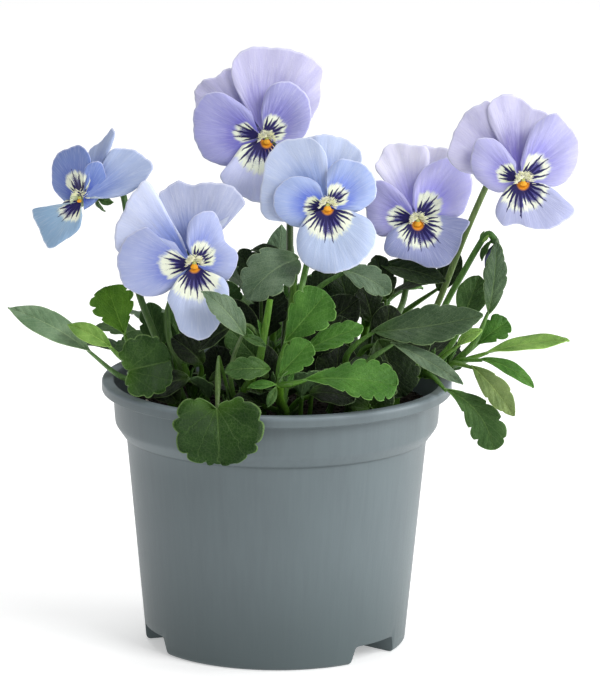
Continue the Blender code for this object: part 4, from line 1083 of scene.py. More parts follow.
# Petal rims: x to the right and y up, from the throat, as the viewer sees the bloom
BLOOMS = (
    Bloom("far_left", (-58, -8, 136), "petal_blue", facing=(-0.80, -0.58, -0.10),
          sideways=True, petals=(
        Petal(((1.5, 7), (1.5, 14.5), (4.5, 17), (7, 19.5), (8.5, 21.5), (9.5, 19.5),
               (8.5, 16), (6.5, 11)), -1, (1.2, -0.5), -3),
        Petal(((5, 7), (6.5, 11.5), (9, 15), (14.5, 15), (19, 12.5), (21, 9.5), (18.5, 5.5),
               (14, 2), (8, 0.5), (4, 1)), -0.5, (0.22, 0), 0),
        Petal(((2, 5.5), (2.5, 12), (-0.5, 16), (-5.5, 15), (-8.5, 13), (-9.5, 9), (-9, 3.5),
               (-5.5, -0.5)), 0.4, (1.1, 0.12), 0.4),
        Petal(((0.5, 6.5), (1, 9.5), (3, 11), (5.5, 11), (7, 7), (6, 2.5), (3.5, -1),
               (0.5, -3)), 1, (-0.45, 0), 7.5),
        Petal(((-5, 0), (-8, -2.5), (-14.5, -2.5), (-15, -4.5), (-12.5, -10), (-10, -14.5),
               (-5, -12), (-1, -9), (0, -5)), 0.8, (0.6, -0.2), 0),
    )),
    Bloom("front_left", (-24.7, -25, 120), "petal_blue", petals=(
        Petal(((-13, 0.5), (-22, 3.5), (-23.5, 9.5), (-20.5, 17), (-18, 21.5), (-14.5, 25),
               (-11, 21), (-7.5, 14.5), (-3.5, 8)), -1.6, (0.12, -0.14), -1),
        Petal(((-7, 12), (-10.5, 20), (-8.5, 23), (-5, 25), (-1, 24), (3, 24.5), (8, 24.5),
               (12.5, 22.5), (15, 18.5), (11.5, 15.5), (6, 12)), -2.6, (0, -0.3), -2),
        Petal(((-5.5, 6.5), (-11, 8.5), (-14, 11), (-18.5, 9), (-21.5, 5.5), (-22.5, 0),
               (-20.5, -6), (-15.5, -9), (-10, -9), (-5, -6)), -0.2, (0.1, 0), 1.2),
        Petal(((-2, 6.5), (-1.5, 12), (2, 15.5), (6, 15.5), (8, 12), (9.5, 7), (13, 3.5),
               (12.5, -0.5), (10, -4.5), (6, -3.5)), -0.2, (-0.12, 0.05), 1.2),
        Petal(((-4.5, -4), (-7.5, -9.5), (-6, -13.5), (-3.5, -19.5), (1, -22), (5, -21),
               (8, -17), (10.5, -9.5), (9.5, -4.5), (5, -2)), 0.8, (0, -0.25), 0.5),
    )),
    Bloom("top", (-4.8, 8, 152.3), "petal_lilac", petals=(
        Petal(((-14, 5), (-19.5, 8.5), (-20.5, 13.5), (-18.5, 17), (-14, 18.5), (-9.5, 21),
               (-4.5, 13.5)), -2.8, (0.12, -0.22), -1.5),
        Petal(((-6.5, 11), (-9.5, 19), (-7.5, 25.5), (-1.5, 27.5), (5, 27), (11, 26),
               (18, 21.5), (17.5, 16.5), (17.5, 11.5), (15, 6)), -1.6, (0, -0.25), -1),
        Petal(((-3.5, 7.5), (-8, 11), (-13.5, 13.5), (-18, 12), (-20.5, 7.5), (-20.5, 0.5),
               (-18, -5.5), (-14, -8), (-9, -9)), -0.2, (0.12, 0), 1.2),
        Petal(((-0.5, 7.5), (1, 13.5), (4.5, 16.5), (9.5, 16), (13.5, 12), (14.5, 7),
               (13.5, 2), (10, -1.5), (5, -2.5)), -0.2, (-0.12, 0), 1.2),
        Petal(((-6, -2.5), (-9.5, -7.5), (-12.5, -12.5), (-7.5, -17), (-2, -19.5), (4.5, -19),
               (10, -14.5), (11, -8.5), (8, -4)), 0.8, (0, -0.25), 0.5),
    )),
    Bloom("middle", (14.2, -19, 136.5), "petal_blue", petals=(
        Petal(((-12.5, -4.5), (-17.5, -3.5), (-19.5, 0.5), (-19, 7), (-17.5, 14.5), (-14, 19),
               (-8.5, 20.5), (-3.5, 20), (0, 15.5), (0.5, 8.5)), -1.6, (0.1, -0.2), -0.5),
        Petal(((-2.5, 11.5), (-6.5, 19), (-3, 21.5), (2, 21.5), (6.5, 20), (10, 17),
               (10.5, 13), (7, 8)), -2.8, (0, -0.28), -1),
        Petal(((-1, 4), (-2.5, 7), (-7, 9), (-12, 8), (-15, 4.5), (-15.5, 0.5), (-13.5, -3.5),
               (-8.5, -6), (-3.5, -5.5), (-1, -2.5)), -0.2, (0.12, 0), 1.2),
        Petal(((0.5, 5), (0.5, 10.5), (4, 14), (9, 13.5), (13, 11), (15, 6), (14, 2),
               (10, -1), (5.5, -2)), -0.2, (-0.12, 0), 1.2),
        Petal(((-5, -2), (-8, -7), (-8.5, -12.5), (-6.5, -16.5), (-2.5, -19), (3.5, -19.5),
               (9.5, -17), (13.5, -13), (15, -8), (12.5, -3.5), (7, -1)), 0.8, (0, -0.22), 0.5),
    )),
    Bloom("right", (41.2, 2, 128.7), "petal_lilac", petals=(
        Petal(((-7, 9.5), (-12, 15), (-11, 18.5), (-8.5, 22.5), (-5, 23), (-0.5, 22.5),
               (3.5, 21.5), (4, 17), (2.5, 10.5)), -1.6, (0.08, -0.22), -1),
        Petal(((-0.5, 12.5), (-1, 21), (2.5, 22.5), (6, 22), (9.5, 21.5), (11.5, 19),
               (11, 13.5), (7, 8)), -2.8, (0, -0.28), -1),
        Petal(((-1.5, 4), (-4, 7.5), (-8.5, 11), (-12, 11.5), (-14.5, 8), (-15, 3.5),
               (-14, -1.5), (-11.5, -4.5), (-8.5, -5), (-4, -2.5)), -0.2, (0.12, 0), 1.2),
        Petal(((-1, 4.5), (-0.5, 10.5), (2.5, 15.5), (7, 18), (11.5, 18.5), (15.5, 15.5),
               (17, 11.5), (16, 6.5), (14, 2), (10, 0), (5.5, -0.5)), -0.2, (-0.12, 0), 1.2),
        Petal(((-4, -1.5), (-8, -4), (-9.5, -8), (-8.5, -10.5), (-4, -12), (-0.5, -12.5),
               (4, -14.5), (9.5, -13.5), (12.5, -9.5), (14, -4.5), (16, -0.5), (10, 1),
               (5, 1.5)), 0.8, (0, -0.25), 0.5),
    )),
    Bloom("far_right", (71.3, -12, 143.5), "petal_lilac", petals=(
        Petal(((-11, 1.5), (-17.5, 3), (-21, 7), (-20, 12), (-18, 16.5), (-16, 20),
               (-11.5, 23), (-8.5, 23.5), (-5.5, 16.5), (-2.5, 7.5)), -2.8, (0.15, -0.15), -1),
        Petal(((-5.5, 10.5), (-9, 18.5), (-8, 24), (-2.5, 26), (1, 24.5), (4, 22), (8.5, 20),
               (8, 15), (4, 6.5)), -1.6, (0, -0.25), -1),
        Petal(((-1, 5.5), (-5, 10.5), (-8.5, 12.5), (-12.5, 12), (-14, 8), (-14, 3), (-11, -1),
               (-6.5, -3.5), (-2.5, -3)), -0.2, (0.12, 0), 1.2),
        Petal(((0.5, 5.5), (2.5, 12.5), (5, 17), (10, 20), (14, 17.5), (17.5, 12.5), (18, 8),
               (16, 2), (11.5, -1.5), (5.5, -1.5)), -0.2, (-0.12, 0), 1.2),
        Petal(((-3.5, -2), (-6, -6), (-7, -10), (-4.5, -13.5), (-0.5, -13), (5, -14.5),
               (10, -14), (16.5, -9.5), (13, -5), (8.5, -1.5), (3.5, -0.5)), 0.8,
              (0, -0.25), 0.5),
    )),
)

# Shaded leaves deep inside the mound, which stand on petioles of their own.
INNER_LEAVES = (
    Leaf(Tone.DEEP, Kind.OVAL, (22.5, 2, 98.5), (18.5, 4, 112), 11, (0, 25), 1, teeth=2),
    Leaf(Tone.SHADE, Kind.OVAL, (28.5, -1, 98), (25.5, 0, 108.5), 9.5, (10, 25), 1, teeth=2),
    Leaf(Tone.DEEP, Kind.OVAL, (32.5, 4, 104), (29.5, 3, 117.5), 9, (0, 20), 1, teeth=2),
    Leaf(Tone.SHADE, Kind.OVAL, (32, -5, 91.5), (33.5, -5, 104), 10, (5, 30), 1),
    Leaf(Tone.MID, Kind.OVAL, (-35, -8, 90.5), (-38, -6, 104.5), 8.5, (-5, 20), 1, teeth=2),
    Leaf(Tone.LUSH, Kind.OVAL, (-31, -6, 89), (-27, -4, 104), 9, (5, 25), 1, teeth=2),
    Leaf(Tone.DEEP, Kind.OVAL, (-5, 0, 108), (-11, 1, 119.5), 8, (-10, 30), 1, teeth=2),
    Leaf(Tone.SHADE, Kind.OVAL, (-15.5, -10, 77), (-18.5, -9, 92), 12, (0, 30), 1.5),
    Leaf(Tone.SHADE, Kind.OVAL, (-4, -12, 78), (-5.5, -11, 93.5), 12, (0, 30), 1.5),
    Leaf(Tone.SHADE, Kind.OVAL, (7.5, -14, 78), (7.5, -12, 93), 12, (0, 30), 1.5),
    Leaf(Tone.SHADE, Kind.OVAL, (17, -17, 78.5), (18.5, -14, 94.5), 13, (5, 30), 1.5),
    Leaf(Tone.DEEP, Kind.ROUND, (27.5, -29, 78.5), (27, -26, 93), 16, (0, 25), 1.5),
    Leaf(Tone.SHADE, Kind.OVAL, (-29, -20, 77), (-37, -15, 84), 9, (-20, 45), 1),
    Leaf(Tone.SHADE, Kind.OVAL, (-9, 12, 80), (-17, 16, 94), 13, (180, 40), 1.5),
    Leaf(Tone.SHADE, Kind.OVAL, (15, 14, 80), (22, 20, 93), 13, (160, 40), 1.5),
    Leaf(Tone.SHADE, Kind.OVAL, (-24, 6, 79), (-34, 9, 90), 12, (-90, 40), 1.5),
    Leaf(Tone.DEEP, Kind.OVAL, (7.5, 3, 99), (16.5, 4, 112.5), 11, (10, 25), 1.2, teeth=3),
    Leaf(Tone.SHADE, Kind.OVAL, (-6, 2, 92), (0.5, 4, 107), 12, (-5, 25), 1.2, teeth=3),
)


@dataclass(frozen=True)
class Fan:
    """Whiskers on a petal: the way they point, their spread and reach, in degrees and mm."""

    axis: float
    spread: float
    whisker: float
    patch: float


@dataclass(frozen=True)
class Dress:
    """A bloom's colours as sRGB, each from the throat outward, and its whisker fans.

    Attributes:
        upper: Inner and outer colour of the two upper petals.
        sides: The same for the two side petals.
        lower: The same for the lower petal.
        fans: Whiskers of the left, right and lower petal.
        eye: Middle of the yellow eye from the throat, in mm.
        painted_light_gains: Painted light and shade: how much lighter or darker each petal is
            painted than its colours, for how the light falls on it.
    """

    upper: tuple
    sides: tuple
    lower: tuple
    fans: tuple
    eye: tuple = (0.6, -0.6)
    painted_light_gains: tuple = (1.0, 1.0, 1.0, 1.0, 1.0)


DRESSES = {
    "far_left": Dress(
        ((0.48, 0.56, 0.80), (0.67, 0.73, 0.87)), ((0.19, 0.30, 0.69), (0.45, 0.54, 0.79)),
        ((0.63, 0.76, 0.87), (0.55, 0.68, 0.81)),
        (Fan(110, 26, 8.6, 9.8), Fan(82, 14, 5.5, 8.5), Fan(215, 42, 7.6, 9.0)), (6.0, -6.0)),
    "front_left": Dress(
        ((0.43, 0.51, 0.79), (0.75, 0.78, 0.91)), ((0.37, 0.45, 0.82), (0.67, 0.71, 0.88)),
        ((0.76, 0.80, 0.91), (0.71, 0.76, 0.89)),
        (Fan(178, 32, 9.3, 11.3), Fan(48, 44, 7.0, 8.6), Fan(-82, 60, 9.2, 11.8)), (0.3, -0.4),
        (1.32, 0.82, 0.96, 1.0, 1.0)),
    "top": Dress(
        ((0.58, 0.56, 0.84), (0.79, 0.78, 0.92)), ((0.43, 0.41, 0.79), (0.66, 0.66, 0.87)),
        ((0.80, 0.82, 0.95), (0.78, 0.80, 0.94)),
        (Fan(166, 26, 8.2, 9.8), Fan(38, 42, 7.3, 8.8), Fan(-96, 64, 9.8, 12.4)), (1.3, -1.4),
        (0.92, 1.0, 1.0, 0.88, 1.08)),
    "middle": Dress(
        ((0.52, 0.62, 0.87), (0.74, 0.79, 0.91)), ((0.25, 0.38, 0.85), (0.64, 0.71, 0.89)),
        ((0.70, 0.77, 0.89), (0.69, 0.75, 0.88)),
        (Fan(180, 38, 6.2, 7.3), Fan(45, 34, 7.6, 9.0), Fan(-78, 74, 9.8, 10.8)), (0.5, -0.4)),
    "right": Dress(
        ((0.58, 0.56, 0.86), (0.91, 0.90, 0.98)), ((0.48, 0.46, 0.83), (0.71, 0.70, 0.90)),
        ((0.63, 0.65, 0.83), (0.57, 0.60, 0.78)),
        (Fan(172, 30, 8.0, 9.6), Fan(48, 32, 9.2, 11.0), Fan(-68, 76, 8.8, 9.8)), (0.6, -1.3),
        (1.0, 1.0, 0.88, 1.32, 0.92)),
    "far_right": Dress(
        ((0.42, 0.38, 0.71), (0.81, 0.80, 0.93)), ((0.53, 0.51, 0.85), (0.72, 0.715, 0.90)),
        ((0.72, 0.74, 0.88), (0.68, 0.70, 0.85)),
        (Fan(150, 34, 6.4, 7.8), Fan(36, 30, 9.8, 11.6), Fan(-62, 76, 9.8, 10.6)), (1.2, -0.9)),
}


@dataclass(frozen=True)
class PetalMaker:
    """Builds a bloom's petals as thin ruffled blades in the plane of the picture."""

    bloom: Bloom
    dress: Dress
    ruffle: float = 0.55
    roll: float = 1.1
    thick: float = 0.30

    def shell(self, number: int) -> Shell:
        """Return one petal.

        Args:
            number: Its place in the bloom: two upper, two side, then the lower petal.

        Returns:
            The petal, with flat coordinates, rim share, colours and whisker fan.
        """
        petal = self.bloom.petals[number]
        role = (Role.UPPER, Role.UPPER, Role.LATERAL, Role.LATERAL, Role.LOWER)[number]
        rim = resample(spline(petal.rim, 8), PETAL_COLUMNS)
        reach = float(np.linalg.norm(rim, axis=1).max())
        span = np.linspace(0, 1, PETAL_COLUMNS)
        phase = 6.28 * whim(*self.bloom.throat, number)
        scallop = 1 + 0.006 * np.sin(span * 41 + phase) + 0.004 * np.sin(span * 97 + 2 * phase)
        scallop = 1 + (scallop - 1) * np.minimum(1, np.minimum(span, 1 - span) * 8)
        rim = rim * scallop[:, None]
        start = rim.mean(axis=0) * 0.06
        share = (np.arange(1, PETAL_RINGS + 1) / PETAL_RINGS) ** 0.85
        xy = start + (rim[None] - start) * share[:, None, None]
        points = np.vstack([start, xy.reshape(-1, 2)])
        u = np.append(0.0, np.repeat(share, PETAL_COLUMNS))
        v = np.append(0.5, np.tile(span, PETAL_RINGS))
        r = np.linalg.norm(points, axis=1) / reach
        depth = petal.layer * np.minimum(1, 3 * r) + points @ np.array(petal.slope)
        depth = depth + petal.lift * r * r + self.relief(u, v, phase, role)
        place = self.bloom.at(*points.T, depth)
        sheet = grid_sheet(PETAL_RINGS, PETAL_COLUMNS) + 1
        low = np.arange(1, PETAL_COLUMNS)
        triangles = np.vstack([sheet, np.stack([low + 1, low, low * 0], 1)])
        outer = 1 + (PETAL_RINGS - 1) * PETAL_COLUMNS
        first = 1 + np.arange(PETAL_RINGS - 1) * PETAL_COLUMNS
        order = np.concatenate([[0], first, outer + np.arange(PETAL_COLUMNS),
                                (first + PETAL_COLUMNS - 1)[::-1]])
        corners = place[triangles]
        faces = np.cross(corners[:, 1] - corners[:, 0], corners[:, 2] - corners[:, 0])
        if (faces @ TOWARD).sum() < 0:
            triangles, order = triangles[:, ::-1], order[::-1]
        thick = self.thick * (1 - 0.55 * u ** 10)
        return close_sheet(place, triangles, order, thick, self.layers(number, role, points, u))

    def relief(self, u: Array, v: Array, phase: float, role: Role) -> Array:
        """Make the soft ruffles, folds and rolled edge of a petal.

        Args:
            u: Shares of the way from the throat to the rim.
            v: Shares of the way across.
            phase: What sets its waves apart from those of others.
            role: The petal's part.

        Returns:
            Heights in millimetres.
        """
        waves = 2.2 if role is Role.UPPER else 1.6
        size = self.ruffle * (1.5 if role is Role.UPPER else 1.0)
        wave = size * u ** 3 * np.sin(2 * math.pi * waves * v + phase)
        wave = wave + 0.22 * u ** 4 * np.sin(2 * math.pi * waves * 3.1 * v + 2 * phase)
        edge = np.clip((u - 0.72) / 0.28, 0, 1)
        roll = -self.roll * edge ** 2 * (0.4 if role is Role.UPPER else 1.0)
        crease = -0.45 * np.exp(-((v - 0.5) / 0.10) ** 2) * np.sin(math.pi * np.clip(u, 0, 1))
        fine = 0.035 * np.sin(v * 90 + phase) * np.sin(math.pi * u)
        return wave + roll + crease + fine

    def layers(self, number: int, role: Role, points: Array, u: Array) -> dict[str, Array]:
        """Gather the values that the petal's finish reads.

        Args:
            number: The petal's number.
            role: Its part.
            points: Places in the plane of the picture.
            u: Shares of the way from the throat to the rim.

        Returns:
            The values by name.
        """
        pair = (self.dress.upper, self.dress.sides, self.dress.lower)[role.value]
        fan = self.dress.fans[max(0, number - 2)]
        if role is Role.UPPER:
            axis = math.degrees(math.atan2(*points.mean(axis=0)[::-1]))
            fan = Fan(axis, fan.spread, 0, 0)
        eye = self.dress.eye if role is Role.LOWER else (0, 99)
        # Painted light and shade: each petal's colours are scaled lighter or darker by its gain,
        # for how light falls on it.
        painted_light_gain = self.dress.painted_light_gains[number]
        fixed = {
            "fan": (*np.radians((fan.axis, fan.spread)), fan.whisker), "patch": (fan.patch, *eye),
            "inner": np.minimum(np.multiply(linear(pair[0]), (painted_light_gain, painted_light_gain, painted_light_gain, 1)), 1),
            "outer": np.minimum(np.multiply(linear(pair[1]), (painted_light_gain, painted_light_gain, painted_light_gain, 1)), 1),
        }
        return {"flat": np.column_stack([points, u]),
                **{name: np.tile(row, (len(points), 1)) for name, row in fixed.items()}}


@dataclass(frozen=True)
class PetalFinish:
    """Soft petal skin: graded colour, fine veins, a cream patch and dark whiskers."""

    name: str
    roughness: float = 0.52
    whisker_gap: float = 0.215
    whisker_width: float = 0.60
    cream: tuple = (0.94, 0.96, 0.88)
    ink: tuple = (0.075, 0.03, 0.33)
    violet: tuple = (0.15, 0.10, 0.52)
    orange: tuple = (0.95, 0.61, 0.07)

    def make(self) -> bpy.types.Material:
        """Return the material, which reads the petal's own layers."""
        p = Paint(self.name, self.roughness, Specular_IOR_Level=0.3, Sheen_Weight=0.15,
                  Sheen_Roughness=0.5)
        x, y, share = p.layer("flat")
        axis, spread, whisker = p.layer("fan")
        patch, eye_x, eye_y = p.layer("patch")
        angle = p.math("ARCTAN2", y, x)
        far = p.math("SQRT", x * x + y * y)
        turn = (angle - axis).math("WRAP", math.pi, -math.pi)
        flat = p.join(x, y, axis)
        skew = turn / spread
        fade = 1 - abs(turn).step(spread * 0.95, spread * 1.2)

        threads = p.noise(p.join(turn * 17.0, far * 0.16, axis), 1.0, 3.0, 0.6)
        threads_fine = p.noise(p.join(turn * 46.0, far * 0.22, axis), 1.0, 2.0, 0.6)
        cloud = p.noise(flat, 0.16, 2.0)
        grade = (share + (cloud - 0.5) * 0.30 + (threads - 0.5) * 0.22).step(0.18, 0.86)
        inner = p.colour_layer("inner")
        graded_skin = p.mix(grade, inner, p.colour_layer("outer"))
        veins = threads.step(0.50, 0.68) * (1 - share * 0.55)
        body = p.mix(veins * 0.20, graded_skin, inner)
        body = p.mix(threads_fine.step(0.45, 0.72) * 0.12, body, (1, 1, 1))
        body = p.mix(share.step(0.965, 0.995) * 0.42, body, (0.93, 0.94, 1.0))

        ragged = p.noise(p.join(turn * 8.0, far * 0.2, axis), 1.0, 3.0, 0.7) - 0.5
        ragged = ragged + (threads_fine - 0.5) * 0.5
        limit = patch * (1 - (skew * skew) * 0.22)
        pale = 1 - (far + ragged * patch * 0.36).step(limit * 0.80, limit * 0.97)
        pale = pale * (1 - (abs(turn) + ragged * 0.22).step(spread * 0.98, spread * 1.28))
        pale = pale * patch.math("MINIMUM", 1.0)
        cream = p.mix(far.step(1.5, 6.5), (0.86, 0.90, 0.66), self.cream)
        body = p.mix(pale, body, cream)

        wave = p.noise(flat, 0.5, 2.0) - 0.5
        cell_place = (turn + wave * 0.13) / self.whisker_gap
        cell = cell_place.math("ROUND")
        vary = p.node("ShaderNodeTexWhiteNoise", {"noise_dimensions": "1D"},
                      {"W": cell + axis * 3.1})
        length = whisker * (1 - skew * skew * 0.30) * (vary * 0.44 + 0.80)
        length = (length * fade).math("MAXIMUM", 0.05)
        near = abs(cell_place - cell) * self.whisker_gap * far
        taper = (1 - far / length).math("MAXIMUM", 0.0) ** 0.55
        half = taper * self.whisker_width
        line = near.step(half + 0.07, half - 0.07) * taper.step(0.0, 0.12)
        block = (far + threads - 0.5).step(length * 0.82, length * 0.66) * far.step(1.5, 2.7)
        block = block * (1 - abs(skew).step(0.30, 0.75))
        block = block * whisker.math("MINIMUM", 1.0)
        body = p.mix(block * 0.94, body, self.violet)
        body = p.mix(line, body, self.ink)

        away_x, away_y = x - eye_x, y - eye_y
        away = p.math("SQRT", away_x * away_x + away_y * away_y * 0.8)
        yolk = (away + (threads - 0.5) * 1.6).step(2.9, 1.9) * (1 - line * away.step(1.4, 2.2))
        body = p.mix(yolk, body, self.orange)
        side = p.layer("side")[0]
        back = p.mix(0.30, graded_skin, (0.80, 0.84, 0.86))
        back = p.mix((1 - far * 0.16) * 0.6, back, (0.80, 0.86, 0.72))
        back = p.mix(veins * 0.25, back, inner)
        body = p.mix(side, back, body)
        relief = threads * 0.55 + threads_fine * 0.25 + p.noise(flat, 2.2, 2.0) * 0.2
        return p.finish(body, relief, 0.00022)


@dataclass(frozen=True)
class LeafFinish:
    """Living leaf: its own tone, feathered or fanned veins, a pale margin and a painted grey sheen
    in soft patches.
    """

    name: str
    vein_gap: float = 3.4
    fan_gap: float = 0.46
    pale: tuple = (0.66, 0.78, 0.50)

    def make(self) -> bpy.types.Material:
        """Return the material, which reads the leaf's own layers."""
        p = Paint(self.name, Specular_IOR_Level=0.18)
        x, y, fan = p.layer("blade")
        edge, reach, seed = p.layer("margin")
        side = p.layer("side")[0]
        tone = p.colour_layer("tone")
        place = p.place()
        out = abs(y)
        drift = p.noise(place, 0.22, 2.0) - 0.5
        slant = x - out * 1.7 - out * out * 0.04 + seed * 3.0 + drift * 2.4
        feather = slant.ridge(self.vein_gap, 0.30) * (1 - edge * 0.7)
        far = p.math("SQRT", x * x + y * y) + 0.6
        angle = p.math("ARCTAN2", y, x + 0.6) + drift * 0.25 * (far * 0.1).math("MINIMUM", 1.0)
        ribs = angle.ridge(self.fan_gap, 0.24 / far) * (1 - edge * 0.7)
        veins = feather + (ribs - feather) * fan
        middle = 1 - (out / ((1.25 - reach) * 0.42)).math("MINIMUM", 1.0)
        middle = middle * (1 - fan * reach * 0.8)
        cells = p.node("ShaderNodeTexVoronoi", {"feature": "DISTANCE_TO_EDGE"},
                       {"Vector": place, "Scale": 1.0, "Randomness": 0.9})
        net = cells.step(0.14, 0.02)
        mottle = p.noise(place, 0.16, 3.0)
        grain = p.noise(place, 2.6, 2.0)
        body = p.mix(mottle.step(0.25, 0.75), p.mix(1.0, tone, (0.80, 0.86, 0.78), "MULTIPLY"),
                     p.tint(tone, 1.18, 1.15, 1.10))
        body = p.mix((1 - reach.step(0.0, 0.30)) * 0.26, body, (0.34, 0.52, 0.13))
        pale = p.mix(0.30, p.tint(tone, 2.9, 2.5, 2.4), self.pale)
        body = p.mix(net * 0.08, body, pale)
        body = p.mix(veins * 0.26, body, pale)
        body = p.mix(middle * 0.48, body, pale)
        rim = (edge + (grain - 0.5) * 0.03).step(0.955, 0.99)
        body = p.mix(rim * 0.75, body, pale)
        under = p.mix(0.35, body, (0.44, 0.56, 0.40))
        body = p.mix(side, under, body)
        # Painted sheen: soft pale patches that stand in for the grey sheen on the leaves.
        body = p.mix((mottle * grain).step(0.25, 0.45) * 0.14, body, pale)
        relief = 0.62 - veins * 0.30 - middle * 0.45 - net * 0.16 + grain * 0.16 + mottle * 0.2
        rough = grain * 0.16 + 0.38 + veins * 0.08
        return p.finish(body, relief, 0.00042, rough)


@dataclass(frozen=True)
class StemFinish:
    """Ribbed green stem: its own tone with fine streaks."""

    name: str
    roughness: float = 0.42

    def make(self) -> bpy.types.Material:
        """Return the material, which reads the stem's tone."""
        p = Paint(self.name, self.roughness, Specular_IOR_Level=0.35)
        place = p.place()
        streaks = p.noise(p.node("ShaderNodeMapping", {}, {0: place, "Scale": (1.0, 1.0, 0.12)}),
                          1.6, 3.0)
        tone = p.colour_layer("tone")
        body = p.mix(streaks.step(0.3, 0.7), p.tint(tone, 0.72, 0.78, 0.7),
                     p.tint(tone, 1.25, 1.2, 1.15))
        body = p.mix(p.noise(place, 3.0, 1.0).step(0.66, 0.74) * 0.25, body,
                     (0.75, 0.80, 0.55))
        return p.finish(body, streaks, 0.00015)


@dataclass(frozen=True)
class PotFinish:
    """Cool grey-blue moulded plastic with faint drawing streaks, grain, dust, painted shade and a
    painted lip highlight.
    """

    name: str
    colour: tuple = (0.380, 0.422, 0.436)

    def make(self) -> bpy.types.Material:
        """Return the material, which reads object coordinates."""
        p = Paint(self.name, Specular_IOR_Level=0.28)
        place = p.place()
        x, y, z = p.split(place)
        round_pot = p.math("ARCTAN2", y, x)
        streaks = p.noise(p.join(x * 0.55, y * 0.55, z * 0.02), 1.0, 3.0, 0.6)
        broad = p.noise(p.join(x * 0.06, y * 0.06, z * 0.02), 1.0, 2.0)
        grain = p.noise(place, 4.0, 2.0)
        bands = p.noise(p.join(0.0, 0.0, z * 0.5), 1.0, 2.0)
        body = p.mix(streaks.step(0.25, 0.75), p.tint(self.colour, 0.95, 0.95, 0.955),
                     p.tint(self.colour, 1.04, 1.04, 1.04))
        body = p.mix(broad.step(0.3, 0.7) * 0.35, body, (0.40, 0.45, 0.462))
        # Painted shade: the plastic is darkened towards the foot, where less light falls.
        low = z.step(40.0, 0.0)
        body = p.mix(low * 0.75, body, (0.30, 0.345, 0.352))
        # Painted shade: dark lines at the concave neck corner and under the lip, where shadow
        # falls.
        painted_crease_shade = abs(z - NECK_HEIGHT).step(0.7, 0.1)
        painted_crease_shade = painted_crease_shade + abs(z - POT_HEIGHT + LIP_HEIGHT).step(0.6, 0.1)
        body = p.mix(painted_crease_shade * 0.45, body, (0.25, 0.29, 0.295))
        # Painted highlight: the top of the lip is lightened as if lit from above.
        painted_lip_highlight = z.step(POT_HEIGHT - 1.6, POT_HEIGHT - 0.2)
        body = p.mix(painted_lip_highlight * 0.30, body, (0.60, 0.65, 0.68))
        dust = p.noise(place, 1.1, 4.0, 0.7).step(0.66, 0.74) * z.step(68.0, 80.0)
        body = p.mix(dust * 0.30, body, (0.28, 0.25, 0.20))
        weld = abs(round_pot.math("WRAP", math.pi, -math.pi) + 2.2).step(0.012, 0.004)
        relief = streaks * 0.35 + grain * 0.25 + bands * 0.2 + weld * 0.2
        rough = grain * 0.10 + streaks * 0.10 + 0.30
        return p.finish(body, relief, 0.00012, rough)


@dataclass(frozen=True)
class SoilFinish:
    """Dark crumbly peat with brown fibres."""

    name: str
    dark: tuple = (0.055, 0.046, 0.040)
    brown: tuple = (0.15, 0.115, 0.085)

    def make(self) -> bpy.types.Material:
        """Return the material, which reads object coordinates."""
        p = Paint(self.name, 0.95, Specular_IOR_Level=0.2)
        place = p.place()
        crumbs = p.node("ShaderNodeTexVoronoi", {}, {"Vector": place, "Scale": 0.75})
        patches = p.noise(place, 0.45, 4.0, 0.65)
        fibres = p.noise(p.node("ShaderNodeMapping", {}, {0: place, "Rotation": (0.4, 0.9, 0.3),
                                                          "Scale": (3.0, 0.35, 1.0)}), 1.4, 2.0)
        body = p.mix(patches.step(0.35, 0.72), self.dark, self.brown)
        body = p.mix(fibres.step(0.62, 0.70) * 0.4, body, (0.26, 0.20, 0.13))
        relief = crumbs * 0.5 + patches * 0.5
        return p.finish(body, relief, 0.0009)


@dataclass(frozen=True)
class GritFinish:
    """Pale porous grains that lighten the peat."""

    name: str

    def make(self) -> bpy.types.Material:
        """Return the material, which reads object coordinates."""
        p = Paint(self.name, 0.9)
        pores = p.noise(p.place(), 2.2, 3.0, 0.7)
        body = p.mix(pores.step(0.35, 0.6), (0.55, 0.50, 0.43), (0.82, 0.80, 0.75))
        return p.finish(body, pores, 0.0003)


@dataclass(frozen=True)
class EyeFinish:
    """The throat's orange knob, paler at its rim, with a green stigma on top."""

    name: str

    def make(self) -> bpy.types.Material:
        """Return the material, which reads the knob's own layer."""
        p = Paint(self.name, 0.5)
        height, angle, part = p.layer("knob")
        spots = p.noise(p.place(), 2.4, 2.0)
        body = p.mix(height.step(0.2, 0.95), (0.88, 0.50, 0.04), (0.95, 0.66, 0.10))
        lines = abs(angle.math("WRAP", 0.35, -0.35)).step(0.10, 0.03) * height.step(0.45, 0.15)
        body = p.mix(lines * 0.6, body, (0.30, 0.10, 0.06))
        body = p.mix(part, body, (0.74, 0.76, 0.42))
        return p.finish(body, spots, 0.0002)


@dataclass(frozen=True)
class BeardFinish:
    """Cream tufts either side of the throat."""

    name: str

    def make(self) -> bpy.types.Material:
        """Return the material, which reads object coordinates."""
        p = Paint(self.name, 0.7)
        shade = p.noise(p.place(), 1.2, 2.0)
        body = p.mix(shade.step(0.3, 0.7), (0.97, 0.97, 0.80), (1.0, 1.0, 0.93))
        return p.finish(body, shade, 0.0001)


@dataclass(frozen=True)
class BudFinish:
    """Closed bud: dark purple folds with paler lilac edges."""

    name: str

    def make(self) -> bpy.types.Material:
        """Return the material, which reads the bud's own layer."""
        p = Paint(self.name, 0.5, Specular_IOR_Level=0.35)
        along, fold, _ = p.layer("fold")
        streaks = p.noise(p.place(), 1.3, 3.0)
        body = p.mix(fold.step(0.2, 0.9), (0.16, 0.11, 0.33), (0.52, 0.50, 0.78))
        body = p.mix(along.step(0.35, 0.0) * 0.5, body, (0.42, 0.50, 0.30))
        body = p.mix(streaks.step(0.45, 0.7) * 0.3, body, (0.30, 0.24, 0.55))
        return p.finish(body, streaks, 0.0002)


